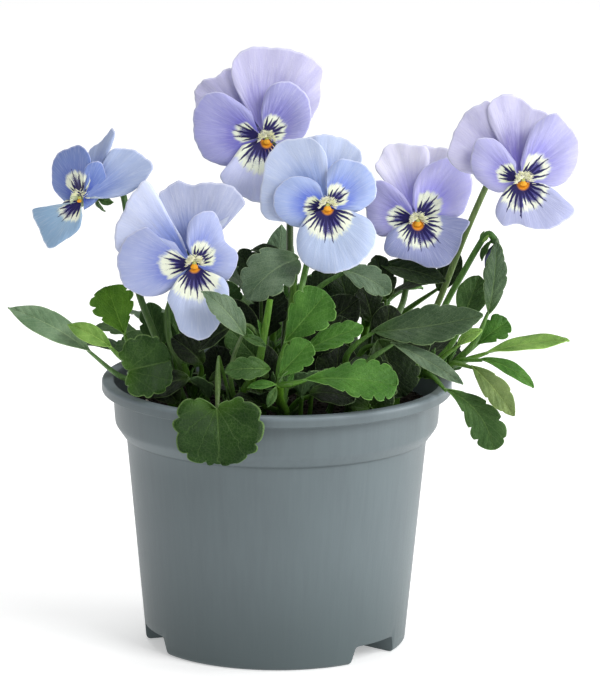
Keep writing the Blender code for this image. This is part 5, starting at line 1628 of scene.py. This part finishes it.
def aim(vector: Any) -> tuple[float, float]:
    """Return the azimuth and elevation, in degrees, of a leaf's face that looks along a vector."""
    x, y, z = unit(vector)
    return math.degrees(math.atan2(x, -y)), math.degrees(math.asin(z))


def spokes(axis: Array, side: Array, start: float) -> list[Array]:
    """Spread five directions about an axis.

    Args:
        axis: The axis, of length one.
        side: A way square to it.
        start: The first angle, in degrees.

    Returns:
        The directions.
    """
    side = unit(side)
    other = np.cross(axis, side)
    turns = np.radians(start + 72 * np.arange(5))
    return [side * math.cos(turn) + other * math.sin(turn) for turn in turns]


@dataclass(frozen=True)
class Strand:
    """A ribbed tube along a path, with its radius and colour from end to end."""

    path: Any
    radii: Sequence[float]
    tones: Sequence[Any]


class StrandRecipe(Recipe):
    """Turns polylines with thick and tone attributes into ribbed closed tubes."""

    def __init__(self) -> None:
        """Make the tree: mesh to curve, a ribbed profile swept along it."""
        super().__init__("ribbed_strands", {"Sides": "NodeSocketInt", "Rib": "NodeSocketFloat",
                                            "Ribs": "NodeSocketFloat",
                                            "Material": "NodeSocketMaterial"})
        curve = self.node("GeometryNodeMeshToCurve", {}, {0: self.given("Geometry")})
        thick = self.named("thick")
        sized = self.node("GeometryNodeSetCurveRadius", {}, {"Curve": curve, "Radius": thick})
        ring = self.node("GeometryNodeCurvePrimitiveCircle", {}, {
            "Resolution": self.given("Sides"), "Radius": 1.0})
        turn = self.node("GeometryNodeInputIndex") * (2 * math.pi) / self.given("Sides")
        swell = (turn * self.given("Ribs")).math("COSINE") * self.given("Rib")
        place = self.node("GeometryNodeInputPosition")
        offset = self.node("ShaderNodeVectorMath", {"operation": "SCALE"}, {0: place, 3: swell})
        ribbed = self.node("GeometryNodeSetPosition", {}, {"Geometry": ring, "Offset": offset})
        tube = self.node("GeometryNodeCurveToMesh", {}, {
            "Curve": sized, "Profile Curve": ribbed, "Fill Caps": True})
        if "Scale" in tube.socket.node.inputs:
            self.tree.links.new(thick.socket, tube.socket.node.inputs["Scale"])
        self.close(self.node("GeometryNodeSetShadeSmooth", {}, {0: tube}))

    def grow(self, name: str, strands: Sequence[Strand], finish: bpy.types.Material,
             ) -> bpy.types.Object:
        """Return one mesh object that holds every strand.

        Args:
            name: The piece's name.
            strands: The tubes wanted.
            finish: Their material.

        Returns:
            The piece, with its tone layer.
        """
        lines = [spline(strand.path, STRAND_STEPS) for strand in strands]
        runs = [np.linspace(0, 1, len(line)) for line in lines]
        starts = np.cumsum([0] + [len(line) for line in lines])
        edges = [(k, k + 1) for first, after in zip(starts, starts[1:])
                 for k in range(first, after - 1)]
        piece = add_mesh(name, np.vstack(lines), edges)
        pairs = list(zip(strands, runs))
        add_layer(piece.data, "thick", np.vstack([graded(s.radii, run) for s, run in pairs]) * MM)
        add_layer(piece.data, "tone", np.vstack([graded(s.tones, run) for s, run in pairs]))
        return self.run(piece, {"Sides": 12, "Rib": 0.07, "Ribs": 4.0, "Material": finish})


class GrainRecipe(Recipe):
    """Scatters turned and scaled grains over a surface."""

    def __init__(self) -> None:
        """Make the tree: points on faces, a lumpy grain on each."""
        super().__init__("scattered_grains", {
            "Density": "NodeSocketFloat", "Small": "NodeSocketFloat", "Large": "NodeSocketFloat",
            "Seed": "NodeSocketInt", "Flatness": "NodeSocketFloat",
            "Material": "NodeSocketMaterial"})
        spots = self.node("GeometryNodeDistributePointsOnFaces", {}, {
            "Mesh": self.given("Geometry"), "Density": self.given("Density"),
            "Seed": self.given("Seed")})
        ball = self.node("GeometryNodeMeshIcoSphere", {}, {"Radius": 1.0, "Subdivisions": 1})
        lump = self.node("GeometryNodeInputPosition")
        bulge = self.node("ShaderNodeTexNoise", {}, {"Vector": lump, "Scale": 1.3})
        rough = self.node("ShaderNodeVectorMath", {"operation": "SCALE"},
                          {0: lump, 3: bulge * 1.2 - 0.6})
        grain = self.node("GeometryNodeSetPosition", {}, {"Geometry": ball, "Offset": rough})
        turn = self.node("FunctionNodeRandomValue", {"data_type": "FLOAT_VECTOR"},
                         {0: (0.0, 0.0, 0.0), 1: (6.28, 6.28, 6.28), "Seed": SEED})
        size = self.node("FunctionNodeRandomValue", {"data_type": "FLOAT"},
                         {2: 0.0, 3: 1.0, "Seed": SEED + 1}, 1)
        size = size ** 3 * (self.given("Large") - self.given("Small")) + self.given("Small")
        shape = self.node("ShaderNodeCombineXYZ", {}, {
            0: size, 1: size * 0.8, 2: size * self.given("Flatness")})
        self.close(self.node("GeometryNodeInstanceOnPoints", {}, {
            "Points": spots, "Instance": grain, "Rotation": turn, "Scale": shape}))


class HairRecipe(Recipe):
    """Sets a tapered hair on every point, along the point's aim."""

    def __init__(self) -> None:
        """Make the tree: a cone on each point, turned to its aim."""
        super().__init__("beard_hairs", {"Length": "NodeSocketFloat", "Width": "NodeSocketFloat",
                                         "Seed": "NodeSocketInt",
                                         "Material": "NodeSocketMaterial"})
        cone = self.node("GeometryNodeMeshCone", {}, {
            "Vertices": 5, "Radius Top": 0.02 * MM, "Radius Bottom": self.given("Width"),
            "Depth": self.given("Length")})
        turn = self.node("FunctionNodeAlignRotationToVector", {"axis": "Z"},
                         {"Vector": self.named("aim", "FLOAT_VECTOR")})
        size = self.node("FunctionNodeRandomValue", {"data_type": "FLOAT"},
                         {2: 0.6, 3: 1.2, "Seed": self.given("Seed")}, 1)
        points = self.node("GeometryNodeMeshToPoints", {}, {"Mesh": self.given("Geometry")})
        self.close(self.node("GeometryNodeInstanceOnPoints", {}, {
            "Points": points, "Instance": cone, "Rotation": turn, "Scale": size}))


@dataclass
class NurseryPot:
    """The pot: lip, collar, tapered wall, three feet and drain holes."""

    corner: float = 1.6
    shoulder: float = 1.2
    rounding: float = 0.45
    steps: int = 5
    bore: float = LIP_INNER - 1.2

    def quarter(self, radius: float, height: float, size: float, start: float) -> list:
        """Return a quarter round as (radius, height) rows.

        Args:
            radius: The place of its middle from the pot's axis.
            height: The place of its middle from the floor.
            size: Its own radius.
            start: The angle where it starts, in degrees.

        Returns:
            The rows, anticlockwise.
        """
        turns = np.radians(np.linspace(start, start + 90, self.steps + 1))
        return [(radius + size * math.cos(t), height + size * math.sin(t)) for t in turns]

    def profile(self) -> tuple[list, list]:
        """Return the outer and inner profile as (radius, height) rows."""
        top = POT_HEIGHT - LIP_HEIGHT
        wall = np.linspace((FOOT_RADIUS, self.corner), (NECK_RADIUS, NECK_HEIGHT), 10)[1:]
        bend = [(NECK_RADIUS + 0.9, NECK_HEIGHT + 0.1), (COLLAR_RADIUS - 1.1, COLLAR_LOW - 2),
                (COLLAR_RADIUS - 0.25, COLLAR_LOW - 0.6), (COLLAR_RADIUS, COLLAR_LOW + 0.8)]
        outer = [
            (0, 0), *self.quarter(FOOT_RADIUS - self.corner, self.corner, self.corner, -90),
            *wall, *spline(bend, 3),
            (COLLAR_RADIUS + 0.25, (COLLAR_LOW + top) / 2), (COLLAR_RADIUS + 0.45, top - 0.6),
            (COLLAR_RADIUS + 0.8, top - 0.15), (COLLAR_RADIUS + 1.3, top),
            *self.quarter(RIM_RADIUS - 0.5, top + 0.5, 0.5, -90), (RIM_RADIUS, POT_HEIGHT - 1.4),
            *self.quarter(RIM_RADIUS - 0.9, POT_HEIGHT - 0.9, 0.9, 0),
            (LIP_INNER - 0.4, POT_HEIGHT), (LIP_INNER - 1, POT_HEIGHT - 0.35),
            (self.bore, POT_HEIGHT - 1)]
        inner = [(COLLAR_RADIUS - WALL, COLLAR_LOW - 0.4), (NECK_RADIUS - WALL, NECK_HEIGHT),
                 (FOOT_RADIUS - WALL, FLOOR), (0, FLOOR)]
        return outer, inner

    def lathe(self, name: str, profile: Sequence) -> bpy.types.Object:
        """Turn a closed profile about the Z axis.

        Args:
            name: The name of the object.
            profile: Its (radius, height) rows.

        Returns:
            The object.
        """
        points, rings = [], []
        turns = 2 * math.pi * np.arange(POT_SEGMENTS) / POT_SEGMENTS
        for radius, height in profile:
            if radius < 1e-6:
                rings.append([len(points)] * POT_SEGMENTS)
                points.append((0, 0, height))
            else:
                rings.append(range(len(points), len(points) + POT_SEGMENTS))
                points += [(radius * math.cos(t), radius * math.sin(t), height) for t in turns]
        quads = [dict.fromkeys((low[k], low[k - 1], high[k - 1], high[k]))
                 for low, high in zip(rings, rings[1:]) for k in range(POT_SEGMENTS)]
        made = add_mesh(name, points, faces=[tuple(q) for q in quads if len(q) > 2])
        turn_outward(made.data)
        return made

    def channel(self, angle: float, grow: float) -> bpy.types.Object:
        """Make the wedge that cuts a foot channel.

        Args:
            angle: Where it is, in degrees.
            grow: How much bigger it is on every side.

        Returns:
            The wedge.
        """
        low, top = CHANNEL_WIDTH / 2 + grow, CHANNEL_TOP_WIDTH / 2 + grow
        high, size = CHANNEL_HEIGHT + grow - self.shoulder, self.shoulder
        arc = [(top + size * (math.cos(a) - 1), high + size * math.sin(a))
               for a in (0.5, 1.0, 1.57)]
        section = [(-low, -1), (low, -1), (top, high), *arc,
                   *((-across, z) for across, z in arc[::-1]), (-top, high)]
        turn = math.radians(angle - 90)
        out, side = (math.cos(turn), math.sin(turn)), (-math.sin(turn), math.cos(turn))
        points = [(out[0] * d + side[0] * w, out[1] * d + side[1] * w, z)
                  for d in (CHANNEL_START - grow, FOOT_RADIUS + 8) for w, z in section]
        n = len(section)
        faces = [tuple(range(n)), tuple(range(2 * n - 1, n - 1, -1))]
        faces += [(k, n + k, n + (k + 1) % n, (k + 1) % n) for k in range(n)]
        made = add_mesh("channel", points, faces=faces)
        turn_outward(made.data)
        return made

    def drill(self, angle: float) -> bpy.types.Object:
        """Make the bit that bores the drain hole over a channel.

        Args:
            angle: Where it is, in degrees.

        Returns:
            The bit.
        """
        low, high = CHANNEL_HEIGHT - 2, CHANNEL_HEIGHT + FLOOR + 2
        made = self.lathe("drain", [(0, low), (DRAIN_RADIUS, low), (DRAIN_RADIUS, high), (0, high)])
        turn, far = math.radians(angle - 90), DRAIN_DISTANCE * MM
        made.data.transform(Matrix.Translation((far * math.cos(turn), far * math.sin(turn), 0)))
        return made

    def cut(self, body: bpy.types.Object, cutter: bpy.types.Object) -> None:
        """Cut one object by another and remove the cutter.

        Args:
            body: What is cut.
            cutter: What cuts it.
        """
        tool = body.modifiers.new("Cut", "BOOLEAN")
        tool.operation, tool.object, tool.solver = "DIFFERENCE", cutter, "EXACT"
        bake(body)
        bpy.data.objects.remove(cutter)

    def build(self, finish: bpy.types.Material) -> None:
        """Build and hand over the pot.

        Args:
            finish: Its plastic.
        """
        outer, inner = self.profile()
        pot = self.lathe("nursery_pot", [*outer, (0, POT_HEIGHT - 1)])
        hollow = self.lathe("hollow", [(0, POT_HEIGHT + 2), (self.bore, POT_HEIGHT + 2),
                                       (self.bore, POT_HEIGHT - 1), *inner])
        for angle in CHANNEL_ANGLES:
            self.cut(hollow, self.channel(angle, FLOOR))
            self.cut(pot, self.channel(angle, 0))
        self.cut(pot, hollow)
        for angle in CHANNEL_ANGLES:
            self.cut(pot, self.drill(angle))
        turn_outward(pot.data, merge=0.00001)
        soften = pot.modifiers.new("Round", "BEVEL")
        soften.width, soften.segments = self.rounding * MM, 2
        soften.limit_method, soften.angle_limit = "ANGLE", math.radians(40)
        mesh = bake(pot).data
        mesh.shade_smooth()
        mesh.set_sharp_from_angle(angle=math.radians(34))
        mesh.materials.clear()
        mesh.materials.append(finish)
        report(pot, ("pot",))


@dataclass
class SoilBed:
    """The peat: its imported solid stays, and crumbs and pale grains lie on it."""

    radius: float = 46.0
    segments: int = 48
    crumbs: float = 900000.0
    grit: float = 14000.0

    def top(self, name: str) -> bpy.types.Object:
        """Lay the soil's crowned top.

        Args:
            name: The name of the object.

        Returns:
            The surface.
        """
        ring, turn = polar(1, self.segments)
        height = np.where(ring == 0, SOIL_TOP + SOIL_CROWN - 0.1, SOIL_TOP - 0.2)
        far = self.radius * ring
        points = np.column_stack([far * np.cos(turn), far * np.sin(turn), height])
        return add_mesh(name, points, faces=dome(1, self.segments).tolist())

    def build(self, peat: bpy.types.Material, grit: bpy.types.Material) -> None:
        """Dress the packed soil and scatter its crumbs and grains.

        Args:
            peat: The soil and its crumbs.
            grit: The pale grains.
        """
        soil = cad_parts["soil"]
        soil.data.materials.clear()
        soil.data.materials.append(peat)
        recipe = GrainRecipe()
        for name, finish, density, small, large, seed, flatness in (
                ("peat_crumbs", peat, self.crumbs, 0.35, 1.7, SEED, 0.7),
                ("pale_grit", grit, self.grit, 0.4, 1.2, SEED + 5, 0.85)):
            report(recipe.run(self.top(name), {
                "Density": density, "Small": small * MM, "Large": large * MM, "Seed": seed,
                "Flatness": flatness, "Material": finish}))


@dataclass
class Greenery:
    """Builds the blades and strands of a green part with its two finishes."""

    recipe: StrandRecipe
    leaf: bpy.types.Material
    stem: bpy.types.Material

    def build(self, names: tuple[str, str], leaves: Sequence[Leaf], strands: Sequence[Strand],
              nodes: Sequence[str] = ()) -> None:
        """Build and hand over two pieces.

        Args:
            names: The names of the blades and of the strands.
            leaves: The blades.
            strands: The tubes.
            nodes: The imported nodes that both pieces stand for.
        """
        blades = make_piece(names[0], [leaf.shell() for leaf in leaves], self.leaf)
        report(blades, nodes)
        report(self.recipe.grow(names[1], strands, self.stem), nodes)


@dataclass
class StemDresser:
    """Builds one leafy stem: its blades, calyx and bracts, and its ribbed strands."""

    stem: LeafyStem
    bloom: Bloom | None

    def strands(self) -> list[Strand]:
        """Return the stem, its petioles, stalks and receptacles as strands."""
        stem, foot = self.stem, Tone.LIME.blend(Tone.MID, 0.5)
        made = [Strand(stem.axis, np.array((0.98, 0.95, 0.7)) * stem.radius,
                       (foot, linear(Tone.LIME.value)))]
        for leaf in stem.leaves:
            if leaf.petiole:
                inside = np.array(leaf.base) + unit(np.subtract(leaf.tip, leaf.base))
                radii = (0.7, 0.5, 0.3, 0.95, 0.5) if leaf.kind is Kind.ROUND else (
                    *(np.array((1, 0.95, 0.8)) * stem.petiole), 0.45)
                made.append(Strand((*leaf.petiole, inside), radii,
                                   (foot, stem.foot.blend(leaf.tone, 0.4))))
        for stalk, tone in zip(stem.stalks, stem.tones):
            made.append(Strand(stalk, np.array((1.12, 1, 0.95, 0.95)) * STALK_RADIUS,
                               (tone.blend(Tone.FRESH, 0.3), linear(tone.value))))
        if self.bloom:
            made.append(self.receptacle(self.bloom.heart, unit(self.bloom.facing),
                                        (-1.3, -0.5, 0.3, 1.1), (0.9, 1.6, 1.8, 1.3)))
        if stem.bud:
            made.append(self.receptacle(BUD_NECK, BUD_ALONG, (-0.5, 0.1, 0.7, 1.2),
                                        (0.9, 1.2, 1.5, 1.6)))
        return made

    def receptacle(self, heart: Any, along: Array, places: tuple, radii: tuple) -> Strand:
        """Return the swelling under a flower.

        Args:
            heart: The end of the stalk.
            along: The way the flower looks.
            places: How far along each section is.
            radii: The radius of each section.

        Returns:
            The swelling as a short strand.
        """
        return Strand([np.array(heart) + along * d for d in places], radii,
                      (linear(Tone.MID.value),) * 2)

    def sepals(self) -> list[Leaf]:
        """Return the five pointed sepals behind the bloom."""
        facing, heart = unit(self.bloom.facing), self.bloom.heart
        made = []
        for out in spokes(facing, np.cross((0, 0, 1), facing), 126):
            end = heart + (out * 0.72 - facing * 0.35) * SEPAL_LENGTH
            made.append(Leaf(Tone.MID, Kind.LANCE, heart + out * 0.8, end, 3,
                             aim(facing + 0.35 * out), 0.3, thick=0.4))
        return made

    def bud_sepals(self) -> list[Leaf]:
        """Return the five sepals that hold the nodding bud."""
        return [Leaf(Tone.MID, Kind.LANCE, BUD_NECK + BUD_ALONG * 0.8 + out * 1.4,
                     BUD_NECK + BUD_ALONG * 7 + out * 3.3, 2.6, aim(out), 0.6, thick=0.4)
                for out in spokes(BUD_ALONG, np.cross(BUD_ALONG, (0, 1, 0)), 0)]

    def bracts(self) -> list[Leaf]:
        """Return the small paired bracts on each stalk."""
        made = []
        for number, stalk in enumerate(self.stem.stalks):
            line = spline(stalk, STRAND_STEPS)
            spot = int(len(line) * (0.66 + 0.05 * number))
            up = unit(line[spot + 1] - line[spot])
            for turn in (0.4, 3.5):
                out = unit(np.cross(up, (math.cos(turn), math.sin(turn), 0.1)))
                base = line[spot] + out * STALK_RADIUS * 0.8
                made.append(Leaf(Tone.FRESH, Kind.LANCE, base, base + up * 3.2 + out * 1.1, 1.1,
                                 aim(out), 0.2, thick=0.3))
        return made

    def stipules(self) -> list[Leaf]:
        """Return the small toothed stipules where the petioles leave the stem."""
        made = []
        for number, leaf in enumerate(self.stem.leaves):
            if len(leaf.petiole) < 2:
                continue
            foot, after = np.array(leaf.petiole[:2])
            up = unit(after - foot + (0, 0, 2))
            size = 4.6 + 2.4 * whim(*leaf.base)
            for side in (1, -1):
                out = unit(np.cross(up, (0.3, 1, 0))) * side
                made.append(Leaf((Tone.MID, Tone.BRIGHT)[number % 2], Kind.LANCE, foot,
                                 foot + up * size + out * 2.2, 2.4, aim(out + (0, -0.6, 0.5)),
                                 0.5, teeth=2, thick=0.35))
        return made

    def build(self, greenery: Greenery) -> None:
        """Build and hand over the stem's two pieces.

        Args:
            greenery: The builder of green parts.
        """
        leaves = [*self.stem.leaves, *self.bracts(), *self.stipules()]
        if self.bloom:
            leaves += self.sepals()
        if self.stem.bud:
            leaves += self.bud_sepals()
        name = self.stem.name
        greenery.build(("blades_" + name, "strands_" + name), leaves, self.strands(),
                       ("leafy_stem_" + name,))


@dataclass
class Understory:
    """Small shaded leaves low inside the mound, each on a petiole out of the soil."""

    petiole: float = 0.7
    rosette: int = 24

    def basal(self) -> list[Leaf]:
        """Return small leaves spaced by the golden angle over the soil."""
        made = []
        for k in range(self.rosette):
            turn, far = 2.4 * k, 7 + 27 * math.sqrt((k + 0.5) / self.rosette)
            a, b = whim(k, 3.1), whim(k, 7.7)
            out = np.array([math.cos(turn), math.sin(turn), 0])
            base = out * far + (0, -1, SOIL_TOP + 5 + 5 * a)
            tip = base + out * (6 + 4 * b) + (0, 0, 4 + 6 * a)
            made.append(Leaf((Tone.SHADE, Tone.DEEP, Tone.LUSH)[k % 3],
                             (Kind.OVAL, Kind.SPOON)[k % 2], base, tip, 8 + 3 * b,
                             aim(out * (0.6 - a) + (0, 0, 1)), 1.2, teeth=2))
        return made

    def build(self, greenery: Greenery) -> None:
        """Build and hand over the leaves and their petioles.

        Args:
            greenery: The builder of green parts.
        """
        strands, leaves = [], [*INNER_LEAVES, *self.basal()]
        for leaf in leaves:
            base = np.array(leaf.base)
            root = np.array([base[0] * 0.88, base[1] * 0.88 - 1, SOIL_TOP - 0.5])
            knee = root * 0.45 + base * 0.55 - (0, 0, 1)
            path = (root, knee, base, base + unit(np.subtract(leaf.tip, base)))
            radii = (*(np.array((1.2, 1, 0.8)) * self.petiole), 0.4)
            strands.append(Strand(path, radii, (Tone.LIME.blend(leaf.tone, 0.6),) * 2))
        greenery.build(("understory_blades", "understory_strands"), leaves, strands)


@dataclass
class BloomDresser:
    """Builds one bloom: its petals, its throat and its eye."""

    bloom: Bloom
    dress: Dress
    eye_size: tuple = (1.05, 0.95, 0.5)
    stigma_size: tuple = (0.6, 0.5, 0.55)

    @property
    def eye_place(self) -> Array:
        """Return the middle of the eye in the plane of the picture, and its depth."""
        return np.array((-0.9, -0.3, 0.1) if self.bloom.sideways else (*self.dress.eye, 1.5))

    def knob(self, centre: Array, size: Sequence[float], part: float, rings: int = 11,
             segments: int = 20) -> Shell:
        """Return a closed egg shape with its height, angle and part values.

        Args:
            centre: Its middle, in the plane of the picture.
            size: Half its width, height and depth.
            part: The value that tells its finish which part it is.
            rings: How many rings of points it has between its ends.
            segments: How many points each ring has.

        Returns:
            The closed shape.
        """
        ring, turn = polar(rings, segments)
        a, t = np.append(math.pi * ring / (rings + 1), math.pi), np.append(turn, 0)
        high, bump = np.sin(a) * np.sin(t), 1 + 0.10 * np.sin(5 * t + 7 * a)
        place = np.column_stack([bump * np.sin(a) * np.cos(t) * (1 - 0.35 * high), bump * high,
                                 np.cos(a)]) * size + centre
        layer = np.column_stack([0.5 + 0.5 * np.cos(a), t, np.full_like(t, part)])
        return Shell(self.bloom.at(*place.T), dome(rings, segments, True), {"knob": layer})

    def throat(self, radius: float, shift: float, tint: Any, rings: int = 6,
               segments: int = 24) -> Shell:
        """Return the shallow cup behind the petals' claws.

        Args:
            radius: Its radius.
            shift: How far it sits to the right of the throat.
            tint: Its colour.
            rings: How many rings of points it has.
            segments: How many points each ring has.

        Returns:
            The cup as a thin blade.
        """
        ring, turn = polar(rings, segments)
        far = radius * ring / rings
        x, y = far * np.cos(turn), far * np.sin(turn)
        fixed = {"fan": (1.57, 0.5, 0), "patch": (0, 0, 99), "inner": linear(tint),
                 "outer": linear(tint)}
        layers = {"flat": np.column_stack([x, y, 0 * x + 0.2]),
                  **{name: np.tile(row, (len(x), 1)) for name, row in fixed.items()}}
        return close_sheet(self.bloom.at(x + shift, y, -1.1 - 0.03 * far ** 2),
                           dome(rings, segments), np.arange(segments) + len(x) - segments,
                           np.full_like(x, 0.3), layers)

    def build(self, petal_finish: bpy.types.Material, eye_finish: bpy.types.Material) -> None:
        """Build and hand over the petals and the eye.

        Args:
            petal_finish: The petals' skin.
            eye_finish: The eye's skin.
        """
        maker = PetalMaker(self.bloom, self.dress)
        name, sideways = self.bloom.name, self.bloom.sideways
        # Painted shade: a front-facing bloom's cup is its side petals' inner colour darkened to
        # 0.72, to read as shadow in the slits between the claws; the sideways bloom's cup is the
        # cream of its petal bases.
        cup = (self.throat(2.5, -1.3, (0.80, 0.85, 0.68)) if sideways
               else self.throat(3.3, 0, np.array(self.dress.sides[0]) * 0.72))
        shells = [*(maker.shell(k) for k in range(5)), cup]
        report(make_piece("petals_" + name, shells, petal_finish),
               ("bloom_" + name,))
        size = np.array(self.eye_size) * (0.6 if sideways else 1)
        knobs = [self.knob(self.eye_place, size, 0),
                 self.knob(self.eye_place + (0, 0.95, 0.1), self.stigma_size, 1)]
        report(make_piece("eye_" + name, knobs, eye_finish),
               (f"bloom_{name}_eye",))


@dataclass
class Beards:
    """The cream hairs either side of every throat."""

    hairs: int = 150
    sideways_hairs: int = 30
    length: float = 1.3
    width: float = 0.12

    def hair(self, bloom: Bloom, eye: Array, side: int, number: int) -> tuple[Array, Array]:
        """Return one hair's root and aim.

        Args:
            bloom: The bloom that it grows in.
            eye: The middle of the bloom's eye.
            side: Which side of the throat it is on, -1 or 1.
            number: Its number on that side.

        Returns:
            Its root and the way that it points.
        """
        a, b, c = (whim(number, side, n + bloom.throat[0]) for n in (1, 2, 3))
        x = eye[0] + side * 2.1 * a + b - 0.5
        y = eye[1] + 2.3 - 1.6 * a * a + 1.7 * (c - 0.5)
        root = bloom.at(x, y, 1.1 + 0.7 * b)
        end = bloom.at(x + side * (0.1 + 0.8 * b), y + 0.1 + 0.9 * (c - 0.4), 1.9 + 0.6 * c)
        return root, unit(end - root)

    def build(self, finish: bpy.types.Material) -> None:
        """Build and hand over every throat's hairs as one piece.

        Args:
            finish: The hairs' material.
        """
        roots, aims = zip(*(
            self.hair(bloom, BloomDresser(bloom, DRESSES[bloom.name]).eye_place, side, k)
            for bloom in BLOOMS for side in (-1, 1)
            for k in range(self.sideways_hairs if bloom.sideways else self.hairs)))
        piece = add_mesh("beards", roots)
        add_layer(piece.data, "aim", np.array(aims))
        HairRecipe().run(piece, {"Length": self.length * MM, "Width": self.width * MM,
                                 "Seed": SEED, "Material": finish})
        piece.data.shade_smooth()
        report(piece)


@dataclass
class BudDresser:
    """The closed bud: petals wound about each other."""

    folds: int = 5
    rings: int = 30
    segments: int = 40

    def build(self, finish: bpy.types.Material) -> None:
        """Build and hand over the bud.

        Args:
            finish: The bud's skin.
        """
        length = float(np.linalg.norm(np.subtract(BUD_TIP, BUD_NECK)))
        side = unit(np.cross(BUD_ALONG, (0.31, 0.93, 0.2)))
        other = np.cross(BUD_ALONG, side)
        ring, turn = polar(self.rings, self.segments)
        ring, turn = np.append(ring, self.rings + 1), np.append(turn, 0)
        skin = (ring > 0) & (ring <= self.rings)
        t = np.clip((ring - 1) / (self.rings - 1), 0, 1)
        along = np.where(skin, 2 + (length - 2.05) * t, np.where(ring, length, 1.9))
        fold = (0.5 + 0.5 * np.cos(self.folds * (turn - 2.2 * t))) * skin
        size = np.interp(along, (2, 0.32 * length, 0.58 * length, length),
                         (0.4, BUD_RADIUS * 0.75, BUD_RADIUS, 0.5))
        size = size * (0.86 + 0.14 * fold ** 0.5) * skin
        points = (BUD_NECK + np.outer(along, BUD_ALONG) + np.outer(size * np.cos(turn), side)
                  + np.outer(size * np.sin(turn), other))
        layers = {"fold": np.column_stack([t, fold, 0 * t])}
        shell = Shell(points, dome(self.rings, self.segments, True), layers)
        report(make_piece("bud_folds", [shell], finish), ("bud_petals",))


@dataclass
class Studio:
    """A pale floor, soft lights and the photograph's long-lens camera."""

    target: tuple = (6.87, 0, 88.99)
    distance: float = 1800.0
    elevation: float = 12.54
    roll: float = 0.393
    lens: float = 308.9
    floor: float = 3000.0

    def camera(self) -> None:
        """Place the camera at the photograph's view."""
        a = math.radians(self.elevation)
        back = Vector((0, -math.cos(a), math.sin(a)))
        data = bpy.data.cameras.new("camera")
        data.lens, data.sensor_width = self.lens, 36.0
        data.clip_start, data.clip_end = 0.05, 20.0
        eye = add_object("camera", data)
        eye.location = (Vector(self.target) + back * self.distance) * MM
        turn = (-back).to_track_quat("-Z", "Y").to_matrix()
        spin = Matrix.Rotation(math.radians(self.roll), 3, "Z")
        eye.rotation_euler = (turn @ spin).to_euler()
        bpy.context.scene.camera = eye

    def light(self, name: str, place: tuple, size: float, watts: float) -> None:
        """Place one square soft light that looks at the plant.

        Args:
            name: Its name.
            place: Where it stands, in metres.
            size: Its side, in metres.
            watts: Its power.
        """
        data = bpy.data.lights.new(name, "AREA")
        data.shape, data.size, data.energy = "SQUARE", size, watts
        lamp = add_object(name, data)
        lamp.location = place
        looks = Vector((0, 0, 0.09)) - lamp.location
        lamp.rotation_euler = looks.to_track_quat("-Z", "Y").to_euler()

    def backdrop(self) -> None:
        """Lay the floor and light the world."""
        turns = np.arange(32) * math.pi / 16
        points = np.column_stack([np.cos(turns), np.sin(turns), 0 * turns]) * self.floor
        floor = add_mesh("floor", points, faces=[tuple(range(32))])
        paint = Paint("floor_paper", 0.9, Specular_IOR_Level=0.1, Emission_Strength=0.38,
                      Emission_Color=(1.0, 1.0, 1.0, 1.0))
        floor.data.materials.append(paint.finish(paint.mix(0, (0.96, 0.96, 0.96), (1, 1, 1))))
        world = bpy.data.worlds.new("soft_white")
        world.use_nodes = True
        background = world.node_tree.nodes["Background"].inputs
        background["Color"].default_value, background["Strength"].default_value = (1, 1, 1, 1), 0.34
        bpy.context.scene.world = world

    def build(self) -> None:
        """Build the floor, the lights and the camera."""
        self.backdrop()
        self.light("key", (1.05, -1.05, 1.2), 0.9, 19.5)
        self.light("fill", (-1.2, -0.9, 0.7), 1.0, 0.3)
        self.light("top", (-0.2, 0.5, 1.6), 0.8, 9.0)
        self.light("edge", (1.3, 0.05, 0.31), 0.6, 10.0)
        bpy.context.scene.view_settings.view_transform = "Standard"
        self.camera()


def main() -> None:
    """Build every sub-assembly in order."""
    logging.basicConfig(level=logging.INFO, format="%(name)s %(message)s")
    NurseryPot().build(PotFinish("pot_plastic_satin").make())
    SoilBed().build(SoilFinish("peat").make(), GritFinish("pale_grit").make())
    greenery = Greenery(StrandRecipe(), LeafFinish("leaf_skin").make(),
                        StemFinish("stem_skin").make())
    by_name = {bloom.name: bloom for bloom in BLOOMS}
    for stem in STEMS:
        StemDresser(stem, by_name.get(stem.bloom)).build(greenery)
    Understory().build(greenery)
    petal, eye = PetalFinish("petal_skin").make(), EyeFinish("eye_skin").make()
    for bloom in BLOOMS:
        BloomDresser(bloom, DRESSES[bloom.name]).build(petal, eye)
    Beards().build(BeardFinish("beard_skin").make())
    BudDresser().build(BudFinish("bud_skin").make())
    Studio().build()


if __name__ == "__main__":
    main()
